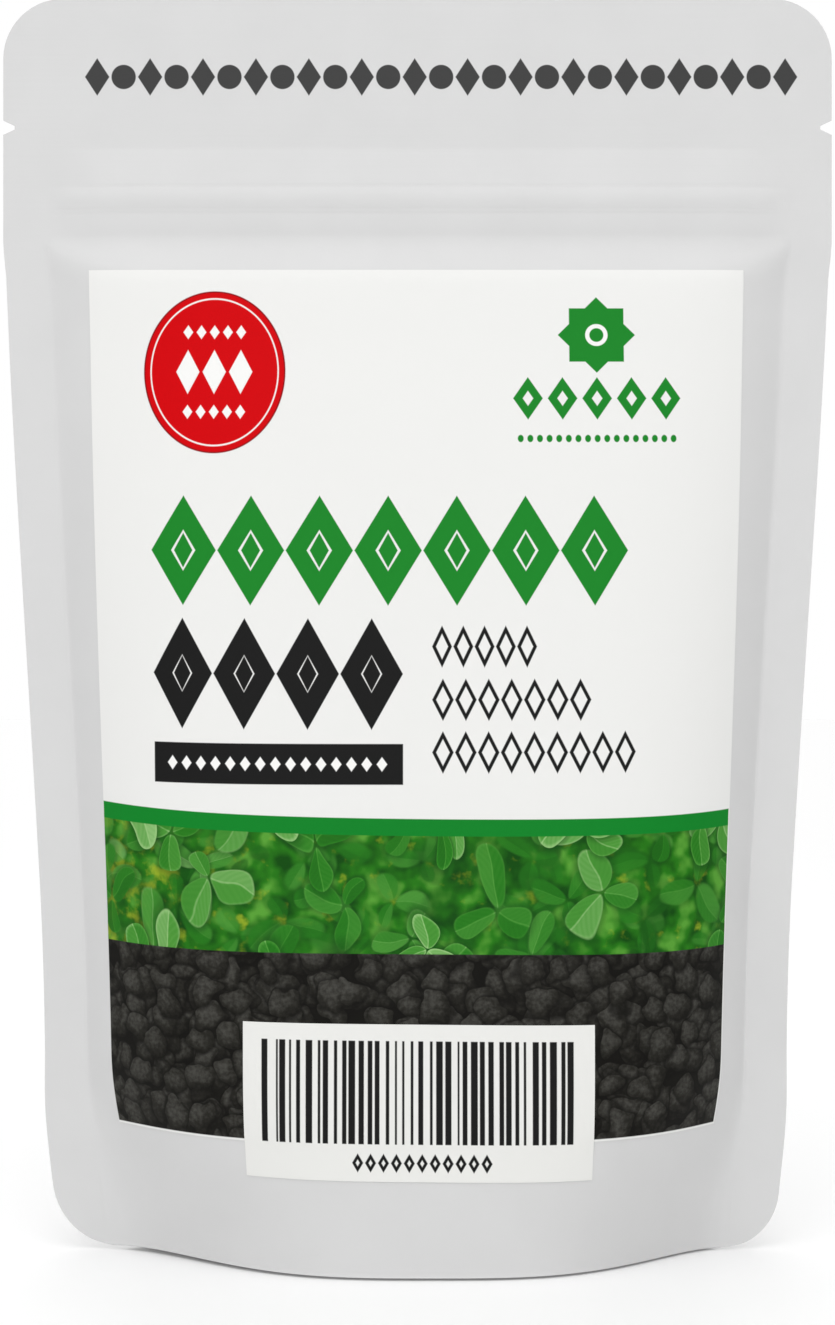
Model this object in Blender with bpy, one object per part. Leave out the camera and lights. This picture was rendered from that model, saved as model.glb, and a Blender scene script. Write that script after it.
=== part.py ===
"""Stand-up bag of seeds: a film pouch with a folded base, a zip, a front label and a small sticker.

Metres, +Z up. The front faces -Y, X runs across the bag, and the origin is where the middle of the
folded base touches the surface that the bag stands on.

The film, the label and the sticker are first drawn flat, as they are cut: X across, Z up, and Y the
height above the inner face of the film. form_on_bag() then bends that flat shape onto the filled bag.
The film doesn't stretch, so the further the bag bulges, the closer its two side seals come.
"""

import math
import random
from dataclasses import dataclass
from functools import lru_cache

import bmesh
import bpy
import numpy as np
from mathutils import Matrix, Vector

MM = 0.001

# The film as it is cut
BAG_WIDTH = 101.6 * MM
BAG_HEIGHT = 152.4 * MM
FILM = 0.4 * MM
CLEARANCE = 0.3 * MM
SIDE_SEAL = 5.2 * MM
CORNER_RADIUS = 7.4 * MM
HEADER_SEAL_FOOT = 133.6 * MM
NOTCH_HEIGHT = 136.6 * MM
NOTCH_DEPTH = 1.4 * MM
NOTCH_HALF_WIDTH = 0.9 * MM
NOTCH_END_HALF_WIDTH = 0.25 * MM

# The bulge of each side of the filled bag, which stands on the middle of its foot
BELLY_DEPTH = 16.5 * MM
BELLY_TOP = 124.5 * MM
BELLY_HEIGHT_POWER = 1.48
BELLY_ROOT_POWER = 0.65
SHOULDER_TOP = 124.6 * MM
SHOULDER_FOOT = 118.2 * MM
SECTION_POWER = 3.9
SECTION_STEPS = 160
SHOULDER_SQUARENESS = 6.0
SHOULDER_HEIGHT = 112.0 * MM
FOOT_PINCH = 1.1
FOOT_GATHER = 1.4 * MM
FOOT_PINCH_HEIGHT = 24.0 * MM
SIDE_LIFT = 0.7 * MM

# The zip, with two tracks one above the other
ZIP_ROOM = 1.05 * MM
ZIP_ROOM_FOOT = 108.0 * MM
ZIP_ROOM_TOP = 130.8 * MM
ZIP_END_RAMP = 2.4 * MM
TRACK_HEIGHTS = (124.6 * MM, 128.0 * MM)
TRACK_RIDGE = 0.3 * MM
TRACK_HALF_HEIGHT = 1.3 * MM
TAPE_FOOT = 121.6 * MM
TAPE_TOP = 130.2 * MM
TAPE_THICKNESS = 0.25 * MM
TAPE_BACK = 0.9 * MM
TAPE_HALF_LENGTH = 42.5 * MM
STEM_HALF_HEIGHT = 0.22 * MM
HEAD_HALF_HEIGHT = 0.42 * MM
HEAD_SHOULDER = 0.05 * MM
HEAD_TIP = 0.35 * MM
WALL_INNER = 0.62 * MM
WALL_OUTER = 0.95 * MM
WALL_LIP = 0.37 * MM
WALL_END = 0.35 * MM
LIP_DEPTH = 0.2 * MM

# The folded base, one strip of film between the front and the back
GUSSET_FOLD_HEIGHT = FOOT_PINCH_HEIGHT
GUSSET_SEAL_MIDDLE = 4.6 * MM
GUSSET_SEAL_POWER = 2.5
GUSSET_SAG = 1.6 * MM
GUSSET_GAP = 0.55 * MM
GUSSET_FLAT_SHARE = 0.30

# The label and the sticker
LABEL_WIDTH = 80.2 * MM
LABEL_FOOT = 15.2 * MM
LABEL_TOP = 119.4 * MM
LABEL_SHIFT = -0.2 * MM
LABEL_THICKNESS = 0.3 * MM
STICKER_WIDTH = 41.8 * MM
STICKER_FOOT = 11.1 * MM
STICKER_TOP = 29.4 * MM
STICKER_SHIFT = 0.1 * MM
LABEL_LIFT = FILM + CLEARANCE
STICKER_LIFT = LABEL_LIFT + LABEL_THICKNESS + CLEARANCE

# The seeds
SEED_LENGTH = 9.2 * MM
SEED_WIDTH = 8.4 * MM
SEED_RIDGES = 0.08
SEED_SPACING = 7.2 * MM
SEED_FILL_HEIGHT = 34.0 * MM
SEED_JITTER = 0.3 * MM
SEED_RANDOM_START = 11

# Where the sheets are divided: rows by height, columns by share of the half-width or by distance
# from the side seal's inner edge, and the base by share of its skirt's height and its floor's depth
CORNER_ANGLES = (0.0, 20.0, 42.0, 65.0, 90.0)
BELLY_ROWS = 9
BELLY_ROWS_TOP = 109.0 * MM
SHOULDER_ROWS = (115.0 * MM, SHOULDER_FOOT, 120.2 * MM, 122.0 * MM)
TRACK_ROWS = (-1.0, -0.5, 0.0, 0.5, 1.0)
MIDDLE_COLUMNS = (0.0, 0.11, 0.22, 0.33, 0.44, 0.54, 0.63, 0.71, 0.78)
SEAL_COLUMNS = (-2.6 * MM, -0.6 * MM, 0.6 * MM)
SKIRT_ROWS = (0.0, 0.5, 0.86)
FLOOR_ROWS = (0.96, 0.80, 0.62, 0.42, 0.22)
SLOPE_STEP = 0.02 * MM


@dataclass(frozen=True)
class Finish:
    """The plain finish of one sub-part."""

    name: str
    color: tuple[float, float, float]
    roughness: float
    metallic: float = 0.0


FILM_FINISH = Finish("Matt pearl-grey film", (0.69, 0.69, 0.69), 0.5)
LABEL_FINISH = Finish("Coated white label paper", (0.87, 0.87, 0.86), 0.55)
STICKER_FINISH = Finish("White sticker paper", (0.84, 0.84, 0.82), 0.6)
ZIP_FINISH = Finish("Clear polythene zip", (0.78, 0.79, 0.80), 0.3)
SEED_FINISH = Finish("Dark seed coat", (0.035, 0.028, 0.024), 0.75)


def smooth_step(share):
    """0 below 0, 1 above 1, and a smooth rise between."""
    share = min(max(share, 0.0), 1.0)
    return share * share * (3.0 - 2.0 * share)


def belly_share(height):
    """0 in the flat header, 1 below the shoulder of the belly."""
    return smooth_step((SHOULDER_TOP - height) / (SHOULDER_TOP - SHOULDER_FOOT))


def belly_depth(height):
    """How far the middle of one side stands out from the seams at this height."""
    share = min(max(height / BELLY_TOP, 0.0), 1.0)
    filled = (1.0 - share**BELLY_HEIGHT_POWER) ** BELLY_ROOT_POWER
    return BELLY_DEPTH * filled * belly_share(height)


def zip_depth(height):
    """How far the film over the zip stands out from the seams, with a soft ridge over each track."""
    above = (HEADER_SEAL_FOOT - height) / (HEADER_SEAL_FOOT - ZIP_ROOM_TOP)
    below = (height - ZIP_ROOM_FOOT) / (SHOULDER_TOP - ZIP_ROOM_FOOT)
    depth = ZIP_ROOM * smooth_step(above) * smooth_step(below)
    for track in TRACK_HEIGHTS:
        away = abs(height - track) / TRACK_HALF_HEIGHT
        depth += TRACK_RIDGE * smooth_step(1.0 - away)
    return depth


def foot_share(height):
    """1 at the foot of the bag, and 0 from the top of the corner seals upwards."""
    return 1.0 - smooth_step(height / FOOT_PINCH_HEIGHT)


def film_between_seals(height):
    """Half the width of film between the side seals, less what the base's seal gathers at the foot."""
    return 0.5 * BAG_WIDTH - SIDE_SEAL - FOOT_GATHER * foot_share(height)


def section_rise(share, height):
    """The bulge across the bag as a share of its depth: 1 in the middle, 0 at the seals.

    Under the header the bulge is flatter in front, with squarer shoulders. Near the foot the corner
    seals hold the film together, which pinches the sides of the bulge.
    """
    under_header = smooth_step((height - SHOULDER_HEIGHT) / (BELLY_TOP - SHOULDER_HEIGHT))
    power = SECTION_POWER + SHOULDER_SQUARENESS * under_header
    pinch = 1.0 + FOOT_PINCH * foot_share(height)
    return np.clip(1.0 - np.abs(share) ** power, 0.0, 1.0) ** pinch


@lru_cache(maxsize=None)
def section(height):
    """The section of one side at this height.

    Returns the half-width between the side seals, the places across the bag from its middle to the
    seal, and the length of film from the middle to each place.
    """
    depth = belly_depth(height)
    film_half = film_between_seals(height)
    shares = np.linspace(0.0, 1.0, SECTION_STEPS + 1)
    rise = depth * section_rise(shares, height)

    def film_lengths(half_width):
        steps = np.hypot(np.diff(shares) * half_width, np.diff(rise))
        return np.concatenate([[0.0], np.cumsum(steps)])

    low, high = 0.5 * film_half, film_half
    for _ in range(50):
        middle = 0.5 * (low + high)
        if film_lengths(middle)[-1] > film_half:
            high = middle
        else:
            low = middle
    return low, shares * low, film_lengths(low)


def across_at(film_across, height):
    """Where a point of the film this far from its middle line lies across the bag."""
    places, lengths = section(height)[1:]
    between_seals = 0.5 * BAG_WIDTH - SIDE_SEAL
    on_seal = max(abs(film_across) - between_seals, 0.0)
    gathered = (abs(film_across) - on_seal) * lengths[-1] / between_seals
    return math.copysign(float(np.interp(gathered, lengths, places)) + on_seal, film_across)


def depth_at(across, height):
    """How far the inner face of one side stands out from the middle plane of the seams."""
    half_width = section(height)[0]
    belly = belly_depth(height) * float(section_rise(min(abs(across) / half_width, 1.0), height))
    inside_seal = (half_width - abs(across)) / ZIP_END_RAMP
    return 0.5 * CLEARANCE + belly + zip_depth(height) * smooth_step(inside_seal)


def level_at(across, height):
    """The level of a place on the film: its height, and the lift of the sides and the header."""
    half_width = section(height)[0]
    on_belly = belly_share(height) * float(section_rise(min(abs(across) / half_width, 1.0), height))
    return height + SIDE_LIFT * (1.0 - on_belly)


def outward_at(across, height):
    """The direction that points out of the front of the bag."""
    slope_across = depth_at(across + SLOPE_STEP, height) - depth_at(across - SLOPE_STEP, height)
    slope_up = depth_at(across, height + SLOPE_STEP) - depth_at(across, height - SLOPE_STEP)
    return Vector((-slope_across, -2.0 * SLOPE_STEP, -slope_up)).normalized()


def bag_point(film_across, lift, height, side=1.0):
    """A point of a flat-cut shape, bent onto the bag.

    side is 1 for the front and -1 for the back, and lift is the height above the film's inner face.
    """
    across = across_at(film_across, height)
    on_film = Vector((across, -depth_at(across, height), level_at(across, height)))
    point = on_film + outward_at(across, height) * lift
    point.y *= side
    return point


def form_on_bag(mesh, side=1.0):
    """Bends a flat-cut shape onto the front or the back of the bag."""
    for vertex in mesh.verts:
        vertex.co = bag_point(vertex.co.x, vertex.co.y, vertex.co.z, side)


def add_object(name, mesh, finish):
    """Turns a finished bmesh into an object with its own material."""
    mesh.normal_update()
    bmesh.ops.recalc_face_normals(mesh, faces=mesh.faces)
    data = bpy.data.meshes.new(name)
    mesh.to_mesh(data)
    mesh.free()
    data.shade_smooth()
    data.set_sharp_from_angle(angle=math.radians(35.0))
    material = bpy.data.materials.new(finish.name)
    material.use_nodes = True
    shader = material.node_tree.nodes["Principled BSDF"]
    shader.inputs["Base Color"].default_value = (*finish.color, 1.0)
    shader.inputs["Roughness"].default_value = finish.roughness
    shader.inputs["Metallic"].default_value = finish.metallic
    data.materials.append(material)
    made = bpy.data.objects.new(name, data)
    bpy.context.scene.collection.objects.link(made)
    return made


def flat_sheet(columns, rows, half_width_at, lift, thickness):
    """A flat-cut sheet with real thickness, standing in XZ.

    columns are shares of the half-width from -1 to 1, rows are heights, and half_width_at gives the
    cut outline.
    """
    mesh = bmesh.new()
    bmesh.ops.create_grid(mesh, x_segments=len(columns) - 1, y_segments=len(rows) - 1, size=1.0)
    for vertex in mesh.verts:
        column = round((vertex.co.x + 1.0) / 2.0 * (len(columns) - 1))
        row = round((vertex.co.y + 1.0) / 2.0 * (len(rows) - 1))
        height = rows[row]
        vertex.co = Vector((columns[column] * half_width_at(height), lift, height))
    raised = bmesh.ops.extrude_face_region(mesh, geom=mesh.faces[:])["geom"]
    for element in raised:
        if isinstance(element, bmesh.types.BMVert):
            element.co.y += thickness
    return mesh


def arc_rows(edge, direction):
    """Heights that draw a rounded corner evenly, from the cut edge inwards."""
    turns = [1.0 - math.cos(math.radians(angle)) for angle in CORNER_ANGLES]
    return [edge + direction * CORNER_RADIUS * turn for turn in turns]


def film_half_width(height):
    """The cut outline of one film panel: rounded corners, and a tear notch in each side."""
    half = 0.5 * BAG_WIDTH
    for from_edge in (BAG_HEIGHT - height, height):
        short = max(CORNER_RADIUS - from_edge, 0.0)
        half -= CORNER_RADIUS - math.sqrt(max(CORNER_RADIUS * CORNER_RADIUS - short * short, 0.0))
    away = abs(height - NOTCH_HEIGHT) - NOTCH_END_HALF_WIDTH
    closing = away / (NOTCH_HALF_WIDTH - NOTCH_END_HALF_WIDTH)
    return half - NOTCH_DEPTH * (1.0 - min(max(closing, 0.0), 1.0))


def panel_rows():
    """Heights of the panel's rows: close together at the corners, the notches, the zip and the shoulder."""
    foot = arc_rows(0.0, 1.0)
    belly = np.linspace(CORNER_RADIUS, BELLY_ROWS_TOP, BELLY_ROWS)[1:]
    tracks = [track + step * TRACK_HALF_HEIGHT for track in TRACK_HEIGHTS for step in TRACK_ROWS]
    header = [ZIP_ROOM_TOP, 0.5 * (ZIP_ROOM_TOP + HEADER_SEAL_FOOT), HEADER_SEAL_FOOT]
    steps = (-NOTCH_HALF_WIDTH, -NOTCH_END_HALF_WIDTH, NOTCH_END_HALF_WIDTH, NOTCH_HALF_WIDTH)
    notch = [NOTCH_HEIGHT + step for step in steps]
    top = arc_rows(BAG_HEIGHT, -1.0)
    return sorted([*foot, *belly, *SHOULDER_ROWS, *tracks, *header, *notch, *top])


def column_shares():
    """Places of the film's columns as shares of its half-width, close together inside each side seal."""
    half = 0.5 * BAG_WIDTH
    inner = [(half - SIDE_SEAL + step) / half for step in SEAL_COLUMNS]
    right = [*MIDDLE_COLUMNS, *inner, 1.0]
    return [-share for share in reversed(right[1:])] + right


def add_film_panel(name, side):
    """The front or back of the bag, one sheet of film from the foot to the header."""
    mesh = flat_sheet(column_shares(), panel_rows(), film_half_width, 0.0, FILM)
    form_on_bag(mesh, side)
    return add_object(name, mesh, FILM_FINISH)


def cut_lines(lines, low, high):
    """The film's own lines between low and high, with low and high as the outer ones."""
    inside = [line for line in lines if low + 0.5 * MM < line < high - 0.5 * MM]
    return [low, *inside, high]


def add_stuck_sheet(name, width, foot, top, shift, lift, finish):
    """A rectangle of paper stuck to the front of the bag, on the same lines as the film under it."""
    half_film = 0.5 * BAG_WIDTH
    lines = [share * half_film for share in column_shares()]
    columns = cut_lines(lines, shift - 0.5 * width, shift + 0.5 * width)
    rows = cut_lines(panel_rows(), foot, top)
    mesh = flat_sheet(columns, rows, lambda height: 1.0, lift, LABEL_THICKNESS)
    form_on_bag(mesh)
    return add_object(name, mesh, finish)


def gusset_shares():
    """Columns of the folded base: the film's own columns, short of the side seals."""
    off_seal = len(SEAL_COLUMNS)
    return column_shares()[off_seal:-off_seal]


def gusset_width_share(share):
    """How far out a column of the base is: 0 in the middle of the bag, 1 at the end of the base."""
    return min(abs(share) / gusset_shares()[-1], 1.0)


def gusset_seal_height(share):
    """Height of the curved seal that joins the base to a panel."""
    out = gusset_width_share(share)
    return GUSSET_SEAL_MIDDLE + (GUSSET_FOLD_HEIGHT - GUSSET_SEAL_MIDDLE) * out**GUSSET_SEAL_POWER


def gusset_floor(share):
    """One column of the base's floor: its place across the bag, its middle and edge level, its reach."""
    seal = gusset_seal_height(share)
    across = across_at(share * film_half_width(seal), seal)
    rise = smooth_step((gusset_width_share(share) - GUSSET_FLAT_SHARE) / (1.0 - GUSSET_FLAT_SHARE))
    middle = -GUSSET_SAG + (GUSSET_FOLD_HEIGHT + GUSSET_SAG - FILM) * rise
    return across, middle, level_at(across, seal), depth_at(across, seal) - GUSSET_GAP - FILM


def gusset_path(share):
    """The underside of the base from its front foot to its back foot, along one column of the film."""
    seal = gusset_seal_height(share)
    front = []
    for step in SKIRT_ROWS:
        height = step * seal
        front.append(bag_point(share * film_half_width(height), -GUSSET_GAP - FILM, height))
    across, middle, edge, reach = gusset_floor(share)
    for outward in FLOOR_ROWS:
        level = max(middle + (edge - middle) * outward * outward, 0.0)
        front.append(Vector((across, -outward * reach, level)))
    back = [Vector((point.x, -point.y, point.z)) for point in reversed(front)]
    return [*front, Vector((across, 0.0, max(middle, 0.0))), *back]


def add_gusset():
    """The folded base: a skirt inside each panel, and between them a floor that the seeds press down."""
    mesh = bmesh.new()
    paths = [[mesh.verts.new(point) for point in gusset_path(share)] for share in gusset_shares()]
    for path, following in zip(paths, paths[1:]):
        for index in range(len(path) - 1):
            mesh.faces.new((path[index], path[index + 1], following[index + 1], following[index]))
    base = add_object("bottom_gusset", mesh, FILM_FINISH)
    wall = base.modifiers.new("Film thickness", "SOLIDIFY")
    wall.thickness = FILM
    wall.offset = -1.0
    return base


def extrude_along_bag(name, outline, finish):
    """A straight strip with this outline of (y, z) points, as long as the zip."""
    mesh = bmesh.new()
    corners = [mesh.verts.new((-TAPE_HALF_LENGTH, y, z + SIDE_LIFT)) for y, z in outline]
    end = mesh.faces.new(corners)
    raised = bmesh.ops.extrude_face_region(mesh, geom=[end])["geom"]
    moved = [element for element in raised if isinstance(element, bmesh.types.BMVert)]
    bmesh.ops.translate(mesh, vec=Vector((2.0 * TAPE_HALF_LENGTH, 0.0, 0.0)), verts=moved)
    return add_object(name, mesh, finish)


def add_zip_ribs():
    """The tape inside the front, with an arrow-headed rib for each track."""
    face = -(TAPE_BACK - TAPE_THICKNESS)
    outline = [(-TAPE_BACK, TAPE_TOP), (-TAPE_BACK, TAPE_FOOT), (face, TAPE_FOOT)]
    for track in TRACK_HEIGHTS:
        lower = [
            (face, STEM_HALF_HEIGHT),
            (HEAD_SHOULDER, STEM_HALF_HEIGHT),
            (HEAD_SHOULDER, HEAD_HALF_HEIGHT),
        ]
        outline += [(y, track - half) for y, half in lower]
        outline.append((HEAD_TIP, track))
        outline += [(y, track + half) for y, half in reversed(lower)]
    outline.append((face, TAPE_TOP))
    return extrude_along_bag("zip_rib_tape", outline, ZIP_FINISH)


def add_zip_grooves():
    """The tape inside the back, with a lipped channel round each rib."""
    face = TAPE_BACK - TAPE_THICKNESS
    wall_end = -WALL_END
    outline = [(TAPE_BACK, TAPE_TOP), (TAPE_BACK, TAPE_FOOT), (face, TAPE_FOOT)]
    for track in TRACK_HEIGHTS:
        lower = [
            (face, WALL_OUTER),
            (wall_end, WALL_OUTER),
            (wall_end, WALL_LIP),
            (wall_end + LIP_DEPTH, WALL_LIP),
            (wall_end + LIP_DEPTH, WALL_INNER),
            (face, WALL_INNER),
        ]
        outline += [(y, track - half) for y, half in lower]
        outline += [(y, track + half) for y, half in reversed(lower)]
    outline.append((face, TAPE_TOP))
    return extrude_along_bag("zip_groove_tape", outline, ZIP_FINISH)


def seed_places():
    """Centres of the seeds: close-packed layers with a little disorder, kept inside the film."""
    draw = random.Random(SEED_RANDOM_START)
    layer_height = SEED_SPACING * math.sqrt(2.0 / 3.0)
    row_depth = SEED_SPACING * math.sqrt(3.0) / 2.0
    room = 0.5 * SEED_LENGTH
    places = []
    layers = int(SEED_FILL_HEIGHT / layer_height)
    for layer in range(layers + 1):
        for row in range(-3, 4):
            for column in range(-7, 8):
                across = (column + 0.5 * ((row + layer) % 2)) * SEED_SPACING
                away = (row + (layer % 2) / 3.0 - 1.0 / 6.0) * row_depth
                height = FILM + CLEARANCE + room + layer * layer_height
                jitter = [draw.uniform(-SEED_JITTER, SEED_JITTER) for _ in range(3)]
                place = Vector((across, away, height)) + Vector(jitter)
                if seed_fits(place, room + CLEARANCE):
                    places.append(place)
    return places


def base_level(across, away):
    """About how high the top of the folded base is at this place on the ground."""
    reach = across_at(gusset_shares()[-1] * 0.5 * BAG_WIDTH, GUSSET_FOLD_HEIGHT)
    share = min(abs(across) / reach, 1.0) * gusset_shares()[-1]
    middle, edge, wall = gusset_floor(share)[1:]
    outward = min(away / wall, 1.0)
    return max(middle + (edge - middle) * outward * outward, 0.0) + FILM


def seed_fits(place, room):
    """True if a seed centred here is clear of the base and of both panels."""
    if place.z > SEED_FILL_HEIGHT:
        return False
    for turn in range(8):
        angle = turn * math.pi / 4.0
        edge = place + Vector((math.cos(angle), math.sin(angle), 0.0)) * room
        if abs(edge.x) > section(place.z)[0] or abs(edge.y) > depth_at(edge.x, place.z):
            return False
        if place.z - 0.5 * room < base_level(edge.x, abs(edge.y)):
            return False
    return place.z - room >= base_level(place.x, abs(place.y))


def seed_mesh(draw):
    """One seed: a rounded three-sided body, a little longer than wide."""
    mesh = bmesh.new()
    bmesh.ops.create_icosphere(mesh, subdivisions=1, radius=0.5)
    turn = Matrix.Rotation(draw.uniform(0.0, math.tau), 3, "Z")
    tip = Matrix.Rotation(draw.uniform(0.0, math.tau), 3, "X")
    for vertex in mesh.verts:
        angle = math.atan2(vertex.co.y, vertex.co.x)
        girth = SEED_WIDTH * (1.0 + SEED_RIDGES * math.cos(3.0 * angle))
        upright = Vector((vertex.co.x * girth, vertex.co.y * girth, vertex.co.z * SEED_LENGTH))
        vertex.co = turn @ (tip @ upright)
    return mesh


def shells_of(mesh):
    """The separate closed shells of a bmesh, each a list of faces."""
    shells = []
    waiting = set(mesh.faces)
    while waiting:
        edge_of_shell = [waiting.pop()]
        shell = []
        while edge_of_shell:
            face = edge_of_shell.pop()
            shell.append(face)
            for edge in face.edges:
                for other in edge.link_faces:
                    if other in waiting:
                        waiting.remove(other)
                        edge_of_shell.append(other)
        shells.append(shell)
    return shells


def keep_outer_shell(data):
    """Fills any hollow that the joined seeds close off, and drops any seed that touches no other."""
    mesh = bmesh.new()
    mesh.from_mesh(data)
    shells = sorted(shells_of(mesh), key=len)
    inner = [face for shell in shells[:-1] for face in shell]
    bmesh.ops.delete(mesh, geom=inner, context="FACES")
    mesh.to_mesh(data)
    mesh.free()


def add_seeds():
    """The heap of seeds in the foot of the bag, joined where they touch."""
    draw = random.Random(SEED_RANDOM_START)
    heap = bpy.data.collections.new("Seeds to join")
    bpy.context.scene.collection.children.link(heap)
    seeds = []
    for place in seed_places():
        mesh = seed_mesh(draw)
        bmesh.ops.translate(mesh, vec=place, verts=mesh.verts)
        seeds.append(add_object("seed_heap", mesh, SEED_FINISH))
    first = seeds[0]
    for seed in seeds[1:]:
        bpy.context.scene.collection.objects.unlink(seed)
        heap.objects.link(seed)
    join = first.modifiers.new("Join touching seeds", "BOOLEAN")
    join.operation = "UNION"
    join.operand_type = "COLLECTION"
    join.collection = heap
    join.solver = "EXACT"
    with bpy.context.temp_override(object=first):
        bpy.ops.object.modifier_apply(modifier=join.name)
    for seed in seeds[1:]:
        bpy.data.objects.remove(seed)
    bpy.data.collections.remove(heap)
    keep_outer_shell(first.data)
    return first


def main():
    """Builds every sub-part of the bag."""
    for old in list(bpy.data.objects):
        bpy.data.objects.remove(old)
    add_film_panel("front_panel", 1.0)
    add_film_panel("back_panel", -1.0)
    add_gusset()
    add_zip_ribs()
    add_zip_grooves()
    add_stuck_sheet("label", LABEL_WIDTH, LABEL_FOOT, LABEL_TOP, LABEL_SHIFT, LABEL_LIFT, LABEL_FINISH)
    add_stuck_sheet("barcode_sticker", STICKER_WIDTH, STICKER_FOOT, STICKER_TOP, STICKER_SHIFT,
                    STICKER_LIFT, STICKER_FINISH)
    add_seeds()


main()
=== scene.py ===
"""A filled stand-up pouch of seeds, dressed for a plain white studio.

The pouch is film, cut flat and bent over what it holds. Each sheet here is drawn flat first, in film
coordinates: X across from the pouch's middle line and Z up from its foot. BagForm then says where
each point of the flat film ends up, and the sheets get their thickness last. The print on the label,
the sticker and the header is drawn by their materials, in millimetres on the flat film.
"""

import logging
import math
import random
from collections.abc import Callable, Iterator
from dataclasses import dataclass, field
from enum import Enum
from functools import lru_cache, partial

import bmesh
import bpy
import numpy as np
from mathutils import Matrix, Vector


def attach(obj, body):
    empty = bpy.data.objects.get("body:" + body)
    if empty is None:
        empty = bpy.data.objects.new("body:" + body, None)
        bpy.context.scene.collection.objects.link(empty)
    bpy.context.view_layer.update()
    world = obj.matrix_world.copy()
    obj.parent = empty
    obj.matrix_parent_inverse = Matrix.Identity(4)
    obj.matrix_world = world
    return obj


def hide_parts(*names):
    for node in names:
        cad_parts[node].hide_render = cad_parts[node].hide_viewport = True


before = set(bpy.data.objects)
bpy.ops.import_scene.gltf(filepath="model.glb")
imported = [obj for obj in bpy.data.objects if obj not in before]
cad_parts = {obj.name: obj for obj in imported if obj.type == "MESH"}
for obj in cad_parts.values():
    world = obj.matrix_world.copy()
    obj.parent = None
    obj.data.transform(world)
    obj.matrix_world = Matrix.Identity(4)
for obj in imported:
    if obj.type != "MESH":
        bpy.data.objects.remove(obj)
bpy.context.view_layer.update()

MM = 0.001
FILM_PLACE = "film_place"
WHITE = (1.0, 1.0, 1.0, 1.0)
SHARP_DEGREES = 35.0

log = logging.getLogger("seed_pouch")

Socket = bpy.types.NodeSocket
Tree = bpy.types.NodeTree
Pair = tuple[float, float]
Levels = tuple[float, float, float, float]
Input = float | tuple[float, ...] | Socket
Inputs = dict[int | str, Input] | tuple[Input, ...]
Stop = tuple[float, str]


class Side(Enum):
    """Which of the pouch's two faces a sheet belongs to."""

    FRONT = 1.0
    BACK = -1.0


class Motif(Enum):
    """The plain figures that a row of ornament may repeat."""

    DOT = "dot"
    LOZENGE = "lozenge"
    BAR = "bar"
    STAR = "eight-pointed star"


def smooth_step(share: np.ndarray | float) -> np.ndarray:
    """A smooth rise from 0 to 1 as share goes from 0 to 1."""
    held = np.clip(share, 0.0, 1.0)
    return held * held * (3.0 - 2.0 * held)


def linear(hex_colour: str) -> Levels:
    """Turns an sRGB colour into the linear one that a shader takes.

    Args:
        hex_colour: The colour as six hex digits after a hash sign.

    Returns:
        Linear red, green and blue, and an alpha of 1.
    """
    shares = [int(hex_colour[place:place + 2], 16) / 255.0 for place in (1, 3, 5)]
    red, green, blue = [
        share / 12.92 if share <= 0.04045 else ((share + 0.055) / 1.055) ** 2.4 for share in shares
    ]
    return red, green, blue, 1.0


def fill(node: bpy.types.Node, inputs: Inputs) -> None:
    """Fills or links a node's inputs.

    Args:
        node: The node.
        inputs: A value, or the socket to link from, for each input in order, or by name or number.
    """
    named = inputs if isinstance(inputs, dict) else dict(enumerate(inputs))
    for name, value in named.items():
        if isinstance(value, Socket):
            node.id_data.links.new(value, node.inputs[name])
        else:
            node.inputs[name].default_value = value


def add_node(tree: Tree, kind: str, inputs: Inputs = (), **settings: object) -> Socket:
    """Adds a node with its settings, and fills or links its inputs.

    Args:
        tree: The node tree to add to.
        kind: The node's type, without the prefix that all shader nodes have.
        inputs: Its inputs, as fill takes them.
        settings: Its properties by name.

    Returns:
        The node's first output in use. The others are in the outputs of that socket's node.
    """
    node = tree.nodes.new("ShaderNode" + kind)
    for name, value in settings.items():
        setattr(node, name, value)
    fill(node, inputs)
    return next(output for output in node.outputs if output.enabled)


def new_material(name: str) -> tuple[bpy.types.Material, bpy.types.Node]:
    """Makes a material with an empty node tree but for its surface shader.

    Args:
        name: the material's name.

    Returns:
        The material and its shader.
    """
    made = bpy.data.materials.new(name)
    made.use_nodes = True
    return made, made.node_tree.nodes["Principled BSDF"]


@dataclass(frozen=True)
class ZipRidge:
    """A rib of the zip that shows through the film as a low arch, and may let the film back in."""

    top: float
    foot: float
    rise: float
    drop: float

    def relief(self, height: float) -> float:
        """How far the rib lifts the film at this height."""
        down = min(max((self.top - height) / (self.top - self.foot), 0.0), 1.0)
        return self.rise * (1.0 - (2.0 * down - 1.0) ** 2) - self.drop * down


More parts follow.
